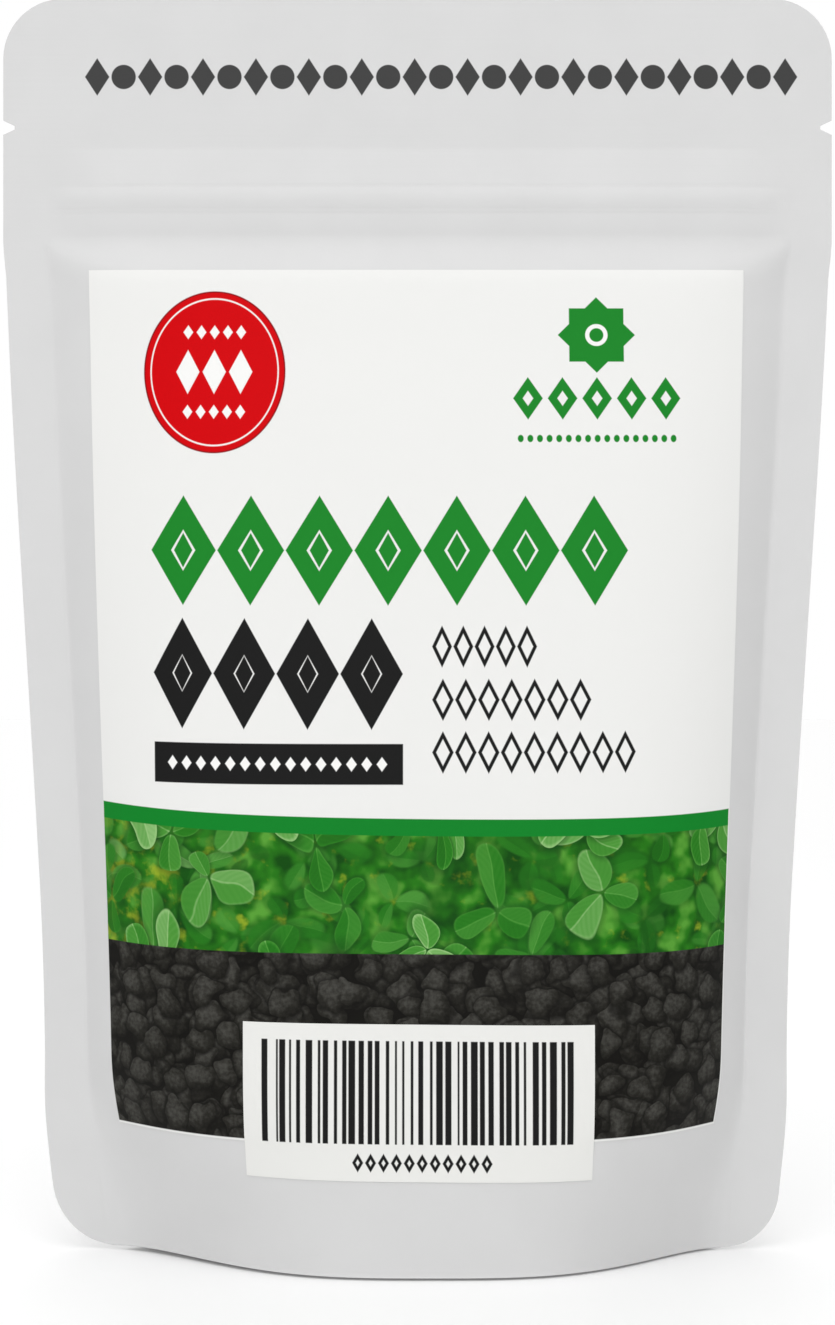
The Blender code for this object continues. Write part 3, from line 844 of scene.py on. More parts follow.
@dataclass(frozen=True)
class FoliagePrint:
    """A printed band of greenery: blurred leaves, with sprigs of three leaflets strewn over them.

    The nearer a layer of sprigs is, the larger, lighter and crisper it is. Millimetres on the film.
    """

    layers: int = 9
    seed: int = 5
    far_leaf: float = 2.8
    near_leaf: float = 4.3
    cell_in_leaves: float = 4.1
    looseness: float = 0.24
    leaflet_turn: float = math.tau / 3.0
    leaflet_sizes: Pair = (0.46, 0.77)
    leaflet_middle: float = 1.06
    slimness: float = 0.64
    taper: Pair = (-0.2, 1.05)
    vein_count: float = 20.0
    vein_slant: float = -16.0
    bare_share: float = 0.06
    blur_scale: float = 0.3
    glint_scale: float = 0.42
    glint_levels: Levels = (0.59, 0.78, 0.0, 0.8)
    left_light: Levels = (-38.0, -12.0, 0.13, 0.0)
    warp: Pair = (0.11, 2.6)
    lot_step: float = 91.0
    near_tone: float = 0.17
    sprig_tone: float = 0.46
    leaflet_tone: float = 0.22
    vein_tone: float = 0.02
    half_tone: Levels = (-0.15, 0.15, 0.0, 0.13)
    rib_width: float = 0.09
    rib_tone: float = 0.26
    rim: Pair = (0.8, 0.98)
    rim_tone: float = 0.2
    crisp_edge: float = 0.97
    far_softness: float = 0.35
    far_faintness: float = 0.3
    shadow: Pair = (0.9, 1.5)
    near_shadow: float = 0.5
    least_shadow: float = 0.1
    blur: tuple[Stop, ...] = ((0.34, "#12490F"), (0.52, "#277418"), (0.66, "#569A36"))
    coat: tuple[Stop, ...] = ((0.0, "#124A11"), (0.42, "#27761D"), (0.7, "#4C9339"), (1.0, "#90BE78"))
    glint: str = "#9DB02C"
    shade: str = "#113F12"

    def paint(self, tree: Tree, place: Socket) -> Input:
        """Builds the picture's colour.

        Args:
            tree: The material's node tree.
            place: The place on the film, in millimetres.

        Returns:
            The picture's colour.
        """
        add = partial(add_node, tree)
        blur = add("TexNoise", {"Vector": place, "Scale": self.blur_scale, "Detail": 2.0})
        glints = add("TexNoise", {"Vector": place, "Scale": self.glint_scale, "Detail": 3.0})
        leftward = faded(tree, add("SeparateXYZ", (place,)), *self.left_light)
        lifted = add("Math", (glints, leftward), operation="ADD")
        glow = faded(tree, lifted, *self.glint_levels)
        colour = painted(tree, ramp(tree, blur, *self.blur), (glow, self.glint))
        place = warped(tree, place, *self.warp)
        for nearness, shift in strewn(self.layers, self.seed):
            colour = self.sprigs(tree, place, colour, nearness, shift)
        return colour

    def sprigs(self, tree: Tree, place: Socket, under: Input, nearness: float, shift: Pair) -> Input:
        """Lays one layer of sprigs over what is painted so far.

        Args:
            tree: The material's node tree.
            place: The place on the film, in millimetres.
            under: The colour painted so far.
            nearness: 0 for the furthest layer, 1 for the nearest.
            shift: Where this layer's net starts.

        Returns:
            The colour with the layer over it.
        """
        add = partial(add_node, tree)
        long = self.far_leaf + (self.near_leaf - self.far_leaf) * nearness
        _, turned, chances = spots(tree, place, self.cell_in_leaves * long, self.looseness, shift)
        axes = add("SeparateXYZ", (turned,)).node.outputs
        bearing = add("Math", (axes["Y"], axes["X"]), operation="ARCTAN2")
        turns = add("Math", (bearing, self.leaflet_turn), operation="DIVIDE")
        leaflet = add("Math", (turns,), operation="ROUND")
        back = add("Math", (leaflet, -self.leaflet_turn), operation="MULTIPLY")
        facing = add("VectorRotate", {"Vector": turned, "Angle": back}, rotation_type="Z_AXIS")
        lot = add("Math", (chances["Red"], self.lot_step, leaflet), operation="MULTIPLY_ADD")
        luck = add("TexWhiteNoise", {"W": lot}, noise_dimensions="1D")
        size = add("MapRange", (luck, 0.0, 1.0, *self.leaflet_sizes))
        grown = add("Math", (1.0 / long, size), operation="DIVIDE")
        in_leaves = add("VectorMath", {0: facing, "Scale": grown}, operation="SCALE")
        on_leaf = add("VectorMath", (in_leaves, (self.leaflet_middle, 0.0, 0.0)), operation="SUBTRACT")
        local = add("VectorMath", (on_leaf, (1.0, self.slimness, 1.0)), operation="DIVIDE")
        leaf = add("SeparateXYZ", (local,)).node.outputs
        widen = add("Math", (leaf["X"], *self.taper), operation="MULTIPLY_ADD")
        fuller = add("Math", (leaf["Y"], widen), operation="MULTIPLY")
        shaped = add("CombineXYZ", (leaf["X"], fuller))
        reach = add("VectorMath", (shaped,), operation="LENGTH")
        rib = add("Math", (leaf["Y"],), operation="ABSOLUTE")
        slant = add("Math", (rib, self.vein_slant), operation="MULTIPLY")
        along = add("Math", (leaf["X"], self.vein_count, slant), operation="MULTIPLY_ADD")
        tone = summed(
            tree, self.near_tone * nearness,
            (chances["Green"], self.sprig_tone),
            (luck, self.leaflet_tone),
            (add("Math", (along,), operation="SINE"), self.vein_tone * nearness),
            (faded(tree, leaf["Y"], *self.half_tone), 1.0),
            (faded(tree, rib, 0.0, self.rib_width, self.rib_tone * nearness, 0.0), 1.0),
            (faded(tree, reach, *self.rim, 0.0, self.rim_tone * nearness), 1.0),
        )
        farness = 1.0 - nearness
        edge = self.crisp_edge - self.far_softness * farness
        inside = faded(tree, reach, edge, 1.0, 1.0 - self.far_faintness * farness, 0.0)
        kept = add("Math", (chances["Blue"], self.bare_share), operation="GREATER_THAN")
        mask = add("Math", (inside, kept), operation="MULTIPLY")
        shadow = faded(tree, reach, *self.shadow, self.near_shadow * nearness + self.least_shadow, 0.0)
        return painted(tree, under, (shadow, self.shade), (mask, ramp(tree, tone, *self.coat)))


@dataclass(frozen=True)
class SeedPrint:
    """A printed band of dark, rounded seeds in a heap, lit from above. Millimetres on the film."""

    layers: int = 7
    seed: int = 11
    half: Pair = (1.85, 1.5)
    spacing: float = 4.9
    looseness: float = 0.7
    light: tuple[float, float, float] = (-0.09, 0.17, 0.0)
    pit_scale: float = 2.0
    pits: Levels = (0.25, 0.75, -0.2, 0.2)
    warp: Pair = (0.32, 1.7)
    shrinking: Pair = (0.3, 0.85)
    far_tone: float = 0.1
    near_tone: float = 0.12
    seed_tone: float = 0.2
    dome: Levels = (0.35, 1.0, 0.34, 0.0)
    shadow: Levels = (0.95, 1.35, 0.75, 0.0)
    rim: Levels = (0.93, 1.0, 1.0, 0.0)
    coat: tuple[Stop, ...] = ((0.0, "#181714"), (0.45, "#282723"), (1.0, "#484743"))
    ground: str = "#161512"
    shade: str = "#12110F"

    def paint(self, tree: Tree, place: Socket) -> Input:
        """Builds the picture's colour.

        Args:
            tree: The material's node tree.
            place: The place on the film, in millimetres.

        Returns:
            The picture's colour.
        """
        pits = add_node(tree, "TexNoise", {"Vector": place, "Scale": self.pit_scale, "Detail": 4.0})
        rough = faded(tree, pits, *self.pits)
        place = warped(tree, place, *self.warp)
        colour: Input = linear(self.ground)
        for nearness, shift in strewn(self.layers, self.seed):
            colour = self.seeds(tree, place, colour, rough, nearness, shift)
        return colour

    def seeds(self, tree: Tree, place: Socket, under: Input, rough: Socket, nearness: float,
              shift: Pair) -> Input:
        """Lays one layer of seeds over what is painted so far.

        Args:
            tree: The material's node tree.
            place: The place on the film, in millimetres.
            under: The colour painted so far.
            rough: The pitting of the coats.
            nearness: 0 for the furthest layer, 1 for the nearest.
            shift: Where this layer's net starts.

        Returns:
            The colour with the layer over it.
        """
        add = partial(add_node, tree)
        away, turned, chances = spots(tree, place, self.spacing, self.looseness, shift)
        local = add("VectorMath", (turned, (*self.half, 1.0)), operation="DIVIDE")
        reach = add("VectorMath", (local,), operation="LENGTH")
        size = add("Math", (chances["Blue"], *self.shrinking), operation="MULTIPLY_ADD")
        out = add("Math", (reach, size), operation="MULTIPLY")
        tone = summed(
            tree, self.far_tone + self.near_tone * nearness,
            (faded(tree, out, *self.dome), 1.0),
            (add("VectorMath", (away, self.light), operation="DOT_PRODUCT"), 1.0),
            (chances["Green"], self.seed_tone),
            (rough, 1.0),
        )
        coats = ((faded(tree, out, *self.shadow), self.shade),
                 (faded(tree, out, *self.rim), ramp(tree, tone, *self.coat)))
        return painted(tree, under, *coats)


@dataclass(frozen=True)
class PearlFilm:
    """The pouch's outer laminate: a matt polyester film over a pearl-grey one.

    It was blown, printed grey and laminated, then heat-sealed. The eye sees a soft, dull highlight,
    a fine grain, and faint drawn lines across the header where the sealing bar pressed it.
    """

    name: str = "Matt pearl-grey laminate film, heat-sealed"
    grey: str = "#D1D1D1"
    ink: str = "#242424"
    roughness: float = 0.46
    cloud: float = 9.0
    cloud_levels: Levels = (0.3, 0.7, 0.985, 1.01)
    grain: float = 0.35
    grain_strength: float = 0.25
    grain_depth: float = 0.01 * MM
    streak_height: float = 0.55
    streak_length: float = 40.0
    streak_depth: float = 0.012 * MM
    streak_levels: Levels = (118.0, 136.0, 0.12, 1.0)
    index: float = 1.5
    ornament: bool = False

    def material(self) -> bpy.types.Material:
        """Builds the film's material.

        Returns:
            The material.
        """
        made, shader = new_material(self.name + (", with a dark ornament" if self.ornament else ""))
        tree = made.node_tree
        add = partial(add_node, tree)
        film = add("Attribute", attribute_name=FILM_PLACE).node.outputs["Vector"]
        cloud = add("TexNoise", {"Vector": film, "Scale": 1.0 / self.cloud, "Detail": 3.0})
        shade = add("MapRange", (cloud, *self.cloud_levels))
        grey = add("VectorMath", {0: linear(self.grey)[:3], "Scale": shade}, operation="SCALE")
        ink = Ink(tree, film, grey)
        if self.ornament:
            ink.row((2.9, 142.8), 87.6, 4.6, 27, self.ink, 0.92, motifs=(Motif.LOZENGE, Motif.DOT))
        grain = add("TexNoise", {"Vector": film, "Scale": 1.0 / self.grain, "Detail": 2.0})
        streak = (self.streak_length, self.streak_height, 1.0)
        stretched = add("VectorMath", (film, streak), operation="DIVIDE")
        streaks = add("TexNoise", {"Vector": stretched, "Scale": 1.0, "Detail": 1.0})
        height = add("SeparateXYZ", (film,)).node.outputs["Y"]
        in_header = faded(tree, height, *self.streak_levels)
        drawn = add("Bump", {"Strength": in_header, "Distance": self.streak_depth, "Height": streaks})
        bump = add("Bump", {"Strength": self.grain_strength, "Distance": self.grain_depth, "Height": grain,
                            "Normal": drawn})
        fill(shader, {"Base Color": ink.colour, "Roughness": self.roughness, "IOR": self.index,
                      "Normal": bump})
        return made


@dataclass(frozen=True)
class PrintedPaper:
    """White paper, printed and pressed on, with a fine relief of fibres."""

    name: str
    paper: str
    roughness: float
    fibre: float
    fibre_strength: float
    fibre_depth: float
    sheen: float = 0.06
    black: str = "#1C1C1C"

    def material(self) -> bpy.types.Material:
        """Builds the paper's material.

        Returns:
            The material.
        """
        made, shader = new_material(self.name)
        tree = made.node_tree
        film = add_node(tree, "Attribute", attribute_name=FILM_PLACE).node.outputs["Vector"]
        ink = Ink(tree, film, linear(self.paper))
        self.print_on(ink)
        fibres = add_node(tree, "TexNoise", {"Vector": film, "Scale": 1.0 / self.fibre, "Detail": 3.0})
        relief = {"Strength": self.fibre_strength, "Distance": self.fibre_depth, "Height": fibres}
        fill(shader, {"Base Color": ink.colour, "Roughness": self.roughness, "Specular IOR Level": self.sheen,
                      "Normal": add_node(tree, "Bump", relief)})
        return made

    def print_on(self, ink: Ink) -> None:
        """Prints what the paper shows."""


@dataclass(frozen=True)
class LabelPaper(PrintedPaper):
    """The front label: coated white paper, printed in inks and pressed on.

    Coating and calendering leave it smooth and nearly matt, whiter than the film around it. The
    print is lozenges, dots and a star, with bands of leaves and seeds under them. Millimetres.
    """

    name: str = "Coated white label paper, offset printed"
    paper: str = "#E6E6E4"
    roughness: float = 0.5
    fibre: float = 0.5
    fibre_strength: float = 0.2
    fibre_depth: float = 0.008 * MM
    white: str = "#EEEEEC"
    green: str = "#1C8129"
    stripe: str = "#117F29"
    red: str = "#CB0008"
    dark_red: str = "#8C0A12"
    line: float = 2.15

    def print_on(self, ink: Ink) -> None:
        """Prints the badge, the star, the rows and the picture bands.

        Args:
            ink: the print so far.
        """
        self.print_badge(ink)
        self.print_mark(ink)
        self.print_rows(ink)
        self.print_pictures(ink)

    def print_badge(self, ink: Ink) -> None:
        """Prints a red oval badge with rows of white lozenges.

        Args:
            ink: the print so far.
        """
        across, height = centre = (-24.5, 106.65)
        ink.stamp(centre, (8.6, 9.95), Motif.DOT, self.dark_red)
        ink.stamp(centre, (8.42, 9.77), Motif.DOT, self.red)
        ink.stamp(centre, (7.8, 9.1), Motif.DOT, self.white, stroke=0.16)
        for above, length, tall, count, share in ((4.9, 8.0, 1.7, 5, 0.74), (0.0, 9.6, 5.4, 3, 0.88),
                                                  (-4.9, 8.0, 1.7, 5, 0.74)):
            ink.row((across, height + above), length, tall, count, self.white, share)

    def print_mark(self, ink: Ink) -> None:
        """Prints a green eight-pointed star over a row of lozenges and a row of dots.

        Args:
            ink: the print so far.
        """
        middle = 21.6
        ink.stamp((middle, 111.2), (3.3, 3.3), Motif.STAR, self.green)
        ink.stamp((middle, 111.2), (1.35, 1.35), Motif.DOT, self.white, stroke=0.5)
        ink.row((middle, 103.4), 20.8, 5.2, 5, self.green, 0.86, stroke=0.95)
        ink.row((middle, 98.5), 19.6, 0.9, 17, self.green, 0.62, motifs=(Motif.DOT,))

    def print_rows(self, ink: Ink) -> None:
        """Prints the rows of large and small lozenges and the black bar.

        Args:
            ink: the print so far.
        """
        for centre, length, count, colour in (((-3.5, 85.0), 57.4, 7, self.green),
                                              ((-16.8, 70.3), 30.3, 4, self.black)):
            ink.row(centre, length, 13.2, count, colour, 0.98, self.line)
            ink.row(centre, length, 4.2, count, colour, 0.28)
        ink.stamp((-16.75, 59.65), (15.05, 2.4), Motif.BAR, self.black)
        ink.row((-16.8, 59.65), 27.0, 1.7, 15, self.white, 0.7)
        for height, length, count in ((73.55, 12.6, 5), (67.25, 19.0, 7), (61.05, 24.3, 9)):
            ink.row((1.65 + 0.5 * length, height), length, 5.0, count, self.black, 0.94, stroke=0.42)

    def print_pictures(self, ink: Ink) -> None:
        """Prints the green stripe and the two picture bands, inside a thin white edge.

        Args:
            ink: the print so far.
        """
        leaves = FoliagePrint().paint(ink.tree, ink.place)
        seeds = SeedPrint().paint(ink.tree, ink.place)
        straight = ink.place
        for foot, top, picture, bow, slope in ((15.75, 40.0, seeds, 0.0, 0.0),
                                               (37.5, 52.7, leaves, 0.0, -0.007),
                                               (51.25, 53.25, self.stripe, 0.0005, -0.004)):
            # Each band curves away from the one before.
            ink.place = ink.bowed(bow, slope)
            ink.stamp((-0.25, 0.5 * (top + foot)), (39.7, 0.5 * (top - foot)), Motif.BAR, picture)
        ink.place = straight


@dataclass(frozen=True)
class StickerPaper(PrintedPaper):
    """The small sticker: plain uncoated white paper, printed with bars by a thermal head.

    It's a little greyer and warmer than the label. The bars' widths and places are random.
    """

    name: str = "White thermal sticker paper"
    paper: str = "#E5E5E2"
    roughness: float = 0.6
    fibre: float = 0.4
    fibre_strength: float = 0.25
    fibre_depth: float = 0.01 * MM
    field_centre: Pair = (-0.15, 21.45)
    field_half: Pair = (18.5, 5.98)
    pitch: float = 1.02
    thinnest: float = 0.22
    widest: float = 0.84
    half_place: float = 0.47

    def print_on(self, ink: Ink) -> None:
        """Prints upright bars, one to a pitch, and a row of lozenges under them.

        Args:
            ink: the print so far.
        """
        add = partial(add_node, ink.tree)
        steps = add("Math", (add("SeparateXYZ", (ink.place,)), self.pitch), operation="DIVIDE")
        step = add("Math", (steps,), operation="FLOOR")
        part = add("Math", (steps,), operation="FRACT")
        noise = add("TexWhiteNoise", {"W": step}, noise_dimensions="1D").node.outputs
        chances = add("SeparateColor", (noise["Color"],)).node.outputs
        half = add("MapRange", (chances["Red"], 0.0, 1.0, 0.5 * self.thinnest, 0.5 * self.widest))
        room = add("Math", (self.half_place, half), operation="SUBTRACT")
        aside = add("MapRange", (chances["Green"], 0.0, 1.0, -1.0, 1.0))
        middle = add("Math", (aside, room, 0.5), operation="MULTIPLY_ADD")
        off = add("Math", (part, middle), operation="SUBTRACT")
        away = add("Math", (off,), operation="ABSOLUTE")
        inside = add("Math", (half, away), operation="SUBTRACT")
        depth = add("Math", (inside, self.pitch), operation="MULTIPLY")
        in_field = ink.mask(self.field_centre, self.field_half, Motif.BAR)
        mask = add("Math", (ink.printed(depth), in_field), operation="MULTIPLY")
        ink.colour = painted(ink.tree, ink.colour, (mask, self.black))
        ink.row((0.55, 13.3), 16.6, 2.2, 11, self.black, 0.86, stroke=0.36)


@dataclass(frozen=True)
class ZipPolythene:
    """The zip's tapes: clear polythene, extruded. Smooth and a little milky, with lines along it."""

    name: str = "Clear polythene, extruded"
    tint: str = "#E3E6E8"
    roughness: float = 0.3
    milkiness: float = 0.3
    milk_depth: float = 0.5 * MM
    stretch: tuple[float, float, float] = (40.0, 5000.0, 5000.0)
    shades: Levels = (0.0, 1.0, 0.93, 1.0)

    def material(self) -> bpy.types.Material:
        """Builds the tapes' material.

        Returns:
            The material.
        """
        made, shader = new_material(self.name)
        add = partial(add_node, made.node_tree)
        place = add("TexCoord").node.outputs["Object"]
        drawn = add("VectorMath", (place, self.stretch), operation="MULTIPLY")
        lines = add("TexNoise", {"Vector": drawn, "Scale": 1.0})
        shade = add("MapRange", (lines, *self.shades))
        tint = add("VectorMath", {0: linear(self.tint)[:3], "Scale": shade}, operation="SCALE")
        fill(shader, {"Base Color": tint, "Roughness": self.roughness, "Subsurface Weight": self.milkiness,
                      "Subsurface Radius": (1.0, 1.0, 1.0), "Subsurface Scale": self.milk_depth})
        return made


@dataclass(frozen=True)
class SeedCoat:
    """The seeds' coat: a dry, dark husk. Matt, with a mottle of brown and fine pits."""

    name: str = "Dark seed coat, dried"
    dark: str = "#2A231F"
    brown: str = "#4B3A30"
    roughness: float = 0.75
    mottle: float = 400.0
    pit_strength: float = 0.6
    pit_depth: float = 0.15 * MM

    def material(self) -> bpy.types.Material:
        """Builds the seeds' material.

        Returns:
            The material.
        """
        made, shader = new_material(self.name)
        tree = made.node_tree
        place = add_node(tree, "TexCoord").node.outputs["Object"]
        mottle = add_node(tree, "TexNoise", {"Vector": place, "Scale": self.mottle, "Detail": 5.0})
        pits = {"Strength": self.pit_strength, "Distance": self.pit_depth, "Height": mottle}
        coat = painted(tree, linear(self.dark), (mottle, self.brown))
        bump = add_node(tree, "Bump", pits)
        fill(shader, {"Base Color": coat, "Roughness": self.roughness, "Normal": bump})
        return made


@dataclass
class FilmPanels:
    """The front and back of the pouch, two sheets of film with the same cut outline. Metres."""

    form: BagForm
    lines: FilmLines
    thickness: float = 0.2 * MM
    clear: float = 0.01 * MM
    corner_radius: float = 7.4 * MM
    right_foot_radius: float = 6.4 * MM
    corner_segments: int = 14
    notch_height: float = 136.6 * MM
    notch_depth: float = 1.4 * MM
    notch_half_width: float = 0.9 * MM
    notch_end_half_width: float = 0.25 * MM

    def build(self) -> None:
        """Cuts, bends and dresses both panels."""
        for side, name, solid, finish in ((Side.FRONT, "front_film", "front_panel", PearlFilm(ornament=True)),
                                          (Side.BACK, "back_film", "back_panel", PearlFilm())):
            sheet = Sheet(name, self.form.width, 0.0, self.form.height)
            self.cut_notches(sheet)
            self.round_corners(sheet)
            sheet.divide(self.lines.columns(), self.lines.rows())
            sheet.bend(self.form, side, self.clear)
            sheet.thicken(self.thickness)
            sheet.dress(finish.material(), "film", solid)

    def cut_notches(self, sheet: Sheet) -> None:
        """Pulls a small tapered notch into each side, under the header.

        Args:
            sheet: the flat film.
        """
        inner, outer = self.notch_end_half_width, self.notch_half_width
        sheet.divide([], [self.notch_height + step for step in (-outer, -inner, inner, outer)])
        edge = 0.5 * self.form.width - self.clear
        for side in (-1.0, 1.0):
            sheet.edit(bpy.ops.transform.translate,
                       lambda x, z: side * x > edge and abs(z - self.notch_height) < 0.5 * (inner + outer),
                       value=(-side * self.notch_depth, 0.0, 0.0))

    def round_corners(self, sheet: Sheet) -> None:
        """Rounds the four corners, the right one at the foot a little less."""
        half, foot, top = 0.5 * self.form.width - self.clear, self.clear, self.form.height - self.clear
        for radius, at_right_foot in ((self.corner_radius, False), (self.right_foot_radius, True)):
            sheet.edit(bpy.ops.mesh.bevel,
                       lambda x, z: (abs(x) > half and not foot < z < top
                                     and (x > half and z < foot) is at_right_foot),
                       offset=radius, segments=self.corner_segments, affect="VERTICES")


@dataclass
class FoldedBase:
    """The base, one strip of film welded inside the front and the back and pressed down. Metres."""

    form: BagForm
    thickness: float = 0.2 * MM
    half_width: float = 45.0 * MM
    half_length: float = 30.0 * MM
    column_spacing: float = 1.2 * MM
    row_spacing: float = 0.8 * MM
    corner_radius: float = 7.6 * MM
    skirt_share: float = 0.42
    seal_middle: float = 4.6 * MM
    seal_power: float = 2.5
    sag: float = 1.6 * MM
    flat_share: float = 0.30
    softness: float = 0.25 * MM
    gap: float = 0.02 * MM

    def build(self) -> None:
        """Cuts, folds and dresses the base."""
        sheet = Sheet("folded_base", 2.0 * self.half_width, -self.half_length, self.half_length)
        sheet.divide(cuts(-self.half_width, (self.half_width, self.column_spacing)),
                     cuts(-self.half_length, (self.half_length, self.row_spacing)))
        sheet.keep_film_place()
        across, _, along = sheet.points().T
        sheet.move_points(self.fold(across, along / self.half_length))
        sheet.thicken(self.thickness)
        sheet.dress(PearlFilm().material(), "film", "bottom_gusset")

    def fold(self, across: np.ndarray, along: np.ndarray) -> np.ndarray:
        """Folds the strip into a skirt inside each panel, with an arched floor between.

        Args:
            across: Each point's distance from the film's middle line.
            along: Each point's place along the strip: -1 at the front foot, 1 at the back one.

        Returns:
            The points of the strip's underside.
        """
        form = self.form
        out = np.abs(across) / self.half_width
        seal = self.seal_middle + (form.foot_height - self.seal_middle) * out**self.seal_power
        reach = np.abs(along)
        side = np.where(along > 0.0, 1.0, -1.0)
        on_skirt = np.clip((1.0 - reach) / self.skirt_share, 0.0, 1.0)
        inside = -self.thickness - self.gap
        past = np.maximum(np.abs(across) - 0.5 * form.width + self.corner_radius, 0.0)
        foot = self.corner_radius - np.sqrt(self.corner_radius**2 - past**2)
        skirt = form.place(across, foot + on_skirt * (seal - foot), inside)
        edge = form.place(across, seal, inside)
        outward = np.clip(reach / (1.0 - self.skirt_share), 0.0, 1.0)
        upturn = smooth_step((out - self.flat_share) / (1.0 - self.flat_share))
        middle = -self.sag + (form.foot_height + self.sag) * upturn
        level = middle + (edge[:, 2] - middle) * outward**2
        level = 0.5 * (level + np.hypot(level, self.softness))
        floor = np.stack([edge[:, 0], np.minimum(edge[:, 1], -self.gap) * outward, level], axis=1)
        points = np.where((on_skirt < 1.0)[:, None], skirt, floor)
        points[:, 1] *= -side
        return points


@dataclass(frozen=True)
class Paper:
    """A paper as it's cut and placed on the flat film. Metres."""

    name: str
    solid: str
    slot: str
    finish: PrintedPaper
    width: float
    foot: float
    top: float
    shift: float
    tilt: float = 0.0


@dataclass
class StuckPapers:
    """The label and the sticker that laps over its foot. Metres."""

    form: BagForm
    lines: FilmLines
    film: float = 0.2 * MM
    paper: float = 0.1 * MM
    glue: float = 0.02 * MM
    lap: float = 0.9 * MM
    label: Paper = Paper("printed_label", "label", "label", LabelPaper(),
                         width=79.6 * MM, foot=15.5 * MM, top=119.15 * MM, shift=-0.18 * MM)
    sticker: Paper = Paper("bar_sticker", "barcode_sticker", "sticker", StickerPaper(),
                           width=41.3 * MM, foot=11.15 * MM, top=29.35 * MM, shift=0.1 * MM, tilt=-0.009)

    def build(self) -> None:
        """Cuts, bends and dresses both, with the sticker bent down below the label's foot."""
        for paper, over_label in ((self.label, 0.0), (self.sticker, self.paper + self.glue)):
            sheet = Sheet(paper.name, paper.width, paper.foot, paper.top, paper.shift)
            sheet.divide(self.lines.within(self.lines.columns(), paper.shift - 0.5 * paper.width,
                                           paper.shift + 0.5 * paper.width),
                         self.lines.within(self.lines.rows(), paper.foot, paper.top))
            on_label = smooth_step((sheet.points()[:, 2] - self.label.foot + self.lap) / self.lap)
            sheet.bend(self.form, Side.FRONT, self.film + self.glue + over_label * on_label, paper.tilt)
            sheet.thicken(self.paper)
            sheet.dress(paper.finish.material(), paper.slot, paper.solid)


@dataclass
class ZipTapes:
    """The zip's two tapes, with their ends pressed flat where the side seals begin. Metres."""

    form: BagForm
    middle: float = 123.9 * MM
    half_length: float = 42.5 * MM
    half_depth: float = 0.9 * MM
    least: float = 0.05
    most: float = 0.9
    clear: float = 0.03 * MM
    weld: float = 0.001 * MM
    spacing: float = 1.0 * MM

    def build(self) -> None:
        """Copies the tapes' solids, divides them along their length and presses their ends."""
        polythene = ZipPolythene().material()
        for name, solid in (("pressed_rib_tape", "zip_rib_tape"), ("pressed_groove_tape", "zip_groove_tape")):
            tape = Sheet(name, self.half_length, 0.0, self.spacing)
            tape.piece.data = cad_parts[solid].data.copy()
            tape.edit(bpy.ops.mesh.remove_doubles, threshold=self.weld)
            tape.divide(cuts(-self.half_length, (self.half_length, self.spacing)), [])
            points = tape.points()
            points[:, 1] *= self.squeeze(points[:, 0])
            tape.move_points(points)
            tape.dress(polythene, "zip", solid)

    def squeeze(self, across: np.ndarray) -> np.ndarray:
        """How far the tapes are pressed together at each place, as a share of their depth."""
        outward = -self.form.row(across, self.middle)[:, 1]
        return np.clip((outward - self.clear) / self.half_depth, self.least, self.most)


@dataclass
class SeedFilling:
    """The heap of seeds, which keeps its solid."""

    finish: SeedCoat = field(default_factory=SeedCoat)

    def build(self) -> None:
        """Gives the seeds their finish."""
        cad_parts["seed_heap"].material_slots[0].material = self.finish.material()
        log.info("seed_heap: dressed")


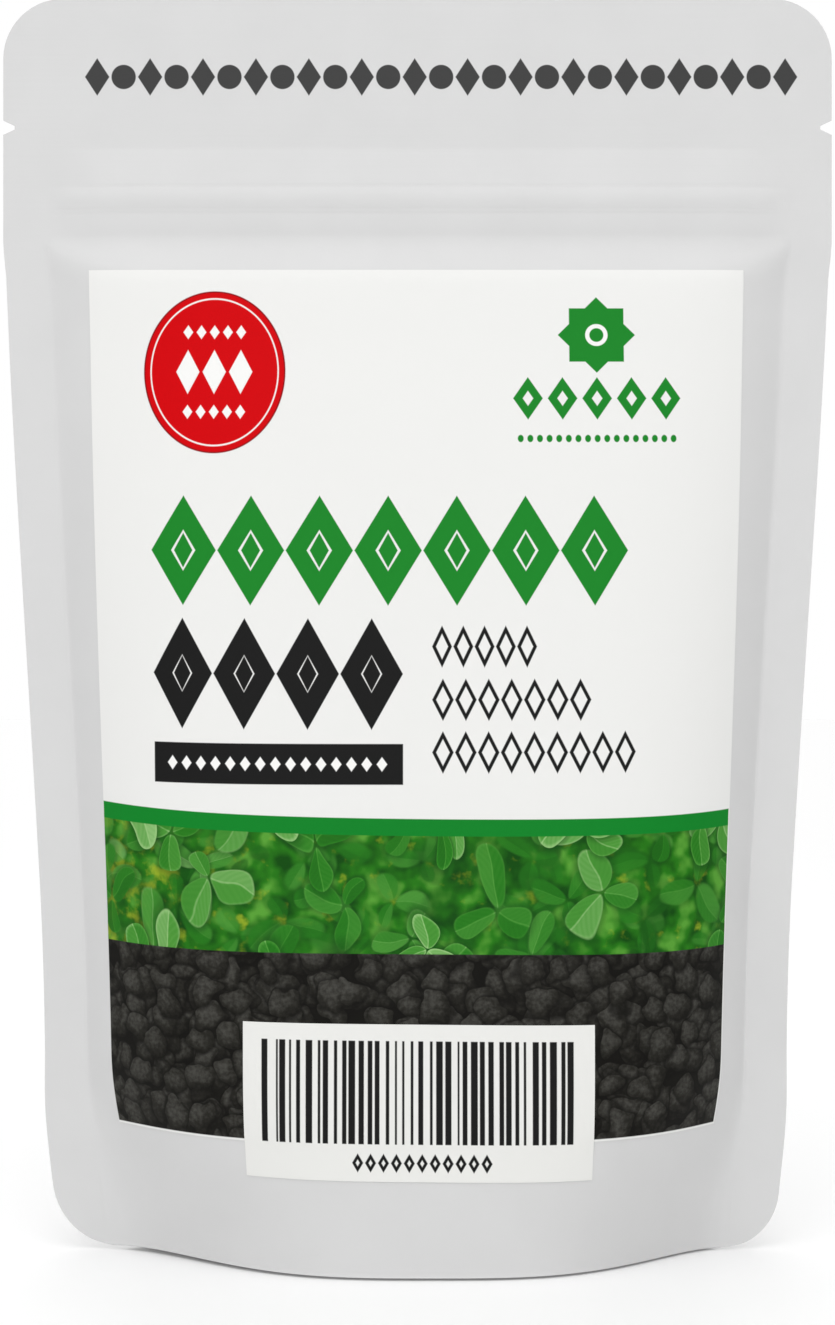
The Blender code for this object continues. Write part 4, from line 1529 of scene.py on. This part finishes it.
@dataclass
class Studio:
    """The floor, the lights, the world and the camera. Metres."""

    camera_distance: float = 322.0 * MM
    camera_height: float = 71.7 * MM
    camera_near: float = 0.01
    focal_length: float = 71.3
    floor_size: float = 6.0
    floor_colour: str = "#F0F0F0"
    floor_roughness: float = 0.35
    floor_index: float = 1.3
    floor_glow: float = 0.1
    floor_gap: float = 0.28 * MM
    surround: float = 0.85
    surround_least: float = 0.1
    lean: tuple[float, float, float] = (-0.1, -0.3, 1.1)
    side_shade: float = 1.05
    key_place: tuple[float, float, float] = (-0.04, -0.28, 0.42)
    key_size: float = 0.3
    key_power: float = 0.14

    def build(self) -> None:
        """Sets up the studio."""
        self.add_floor()
        self.add_world()
        self.add_lights()
        self.add_camera()
        bpy.context.scene.view_settings.view_transform = "Standard"

    def add_floor(self) -> None:
        """A plain white floor."""
        bpy.ops.object.select_all(action="DESELECT")
        bpy.ops.mesh.primitive_plane_add(size=self.floor_size, location=(0.0, 0.0, -self.floor_gap))
        floor = bpy.context.object
        floor.name = "studio_floor"
        material, shader = new_material("White studio floor")
        fill(shader, {"Base Color": linear(self.floor_colour), "Roughness": self.floor_roughness,
                      "IOR": self.floor_index, "Emission Color": WHITE, "Emission Strength": self.floor_glow})
        floor.data.materials.append(material)

    def add_world(self) -> None:
        """A white surround, brighter overhead and darker to the sides, and plain white to the camera."""
        world = bpy.data.worlds.new("White surround")
        bpy.context.scene.world = world
        world.use_nodes = True
        add = partial(add_node, world.node_tree)
        direction = add("TexCoord").node.outputs["Generated"]
        leaning = add("VectorMath", (direction, self.lean), operation="DOT_PRODUCT")
        folded = add("VectorMath", (direction,), operation="ABSOLUTE")
        aside = add("VectorMath", (folded, (-self.side_shade, 0.0, 0.0)), operation="DOT_PRODUCT")
        level = add("Math", (leaning, aside), operation="ADD")
        strength = add("Math", (level, self.surround), operation="ADD")
        held = add("Math", (strength, self.surround_least), operation="MAXIMUM")
        lit = add("Background", {"Color": WHITE, "Strength": held})
        backdrop = add("Background", {"Color": WHITE, "Strength": 1.0})
        seen = add("MixShader", (add("LightPath"), lit, backdrop))
        fill(world.node_tree.nodes["World Output"], {"Surface": seen})

    def add_lights(self) -> None:
        """A broad, weak light above the camera, which makes the header a little brighter."""
        key = bpy.data.lights.new("Key light", "AREA")
        key.energy = self.key_power
        key.size = self.key_size
        lamp = bpy.data.objects.new("Key light", key)
        lamp.location = self.key_place
        towards = Vector((0.0, 0.0, self.camera_height)) - lamp.location
        lamp.rotation_euler = towards.to_track_quat("-Z", "Y").to_euler()
        bpy.context.scene.collection.objects.link(lamp)

    def add_camera(self) -> None:
        """A level camera in front of the pouch."""
        lens = bpy.data.cameras.new("Front camera")
        lens.lens = self.focal_length
        lens.clip_start = self.camera_near
        camera = bpy.data.objects.new("Front camera", lens)
        camera.location = (0.0, -self.camera_distance, self.camera_height)
        camera.rotation_euler = (0.5 * math.pi, 0.0, 0.0)
        bpy.context.scene.collection.objects.link(camera)
        bpy.context.scene.camera = camera


def main() -> None:
    """Builds the studio and every piece of the pouch, in order."""
    logging.basicConfig(level=logging.INFO, format="%(message)s")
    form = BagForm()
    lines = FilmLines(form)
    Studio().build()
    FilmPanels(form, lines).build()
    FoldedBase(form).build()
    StuckPapers(form, lines).build()
    ZipTapes(form).build()
    SeedFilling().build()


if __name__ == "__main__":
    main()
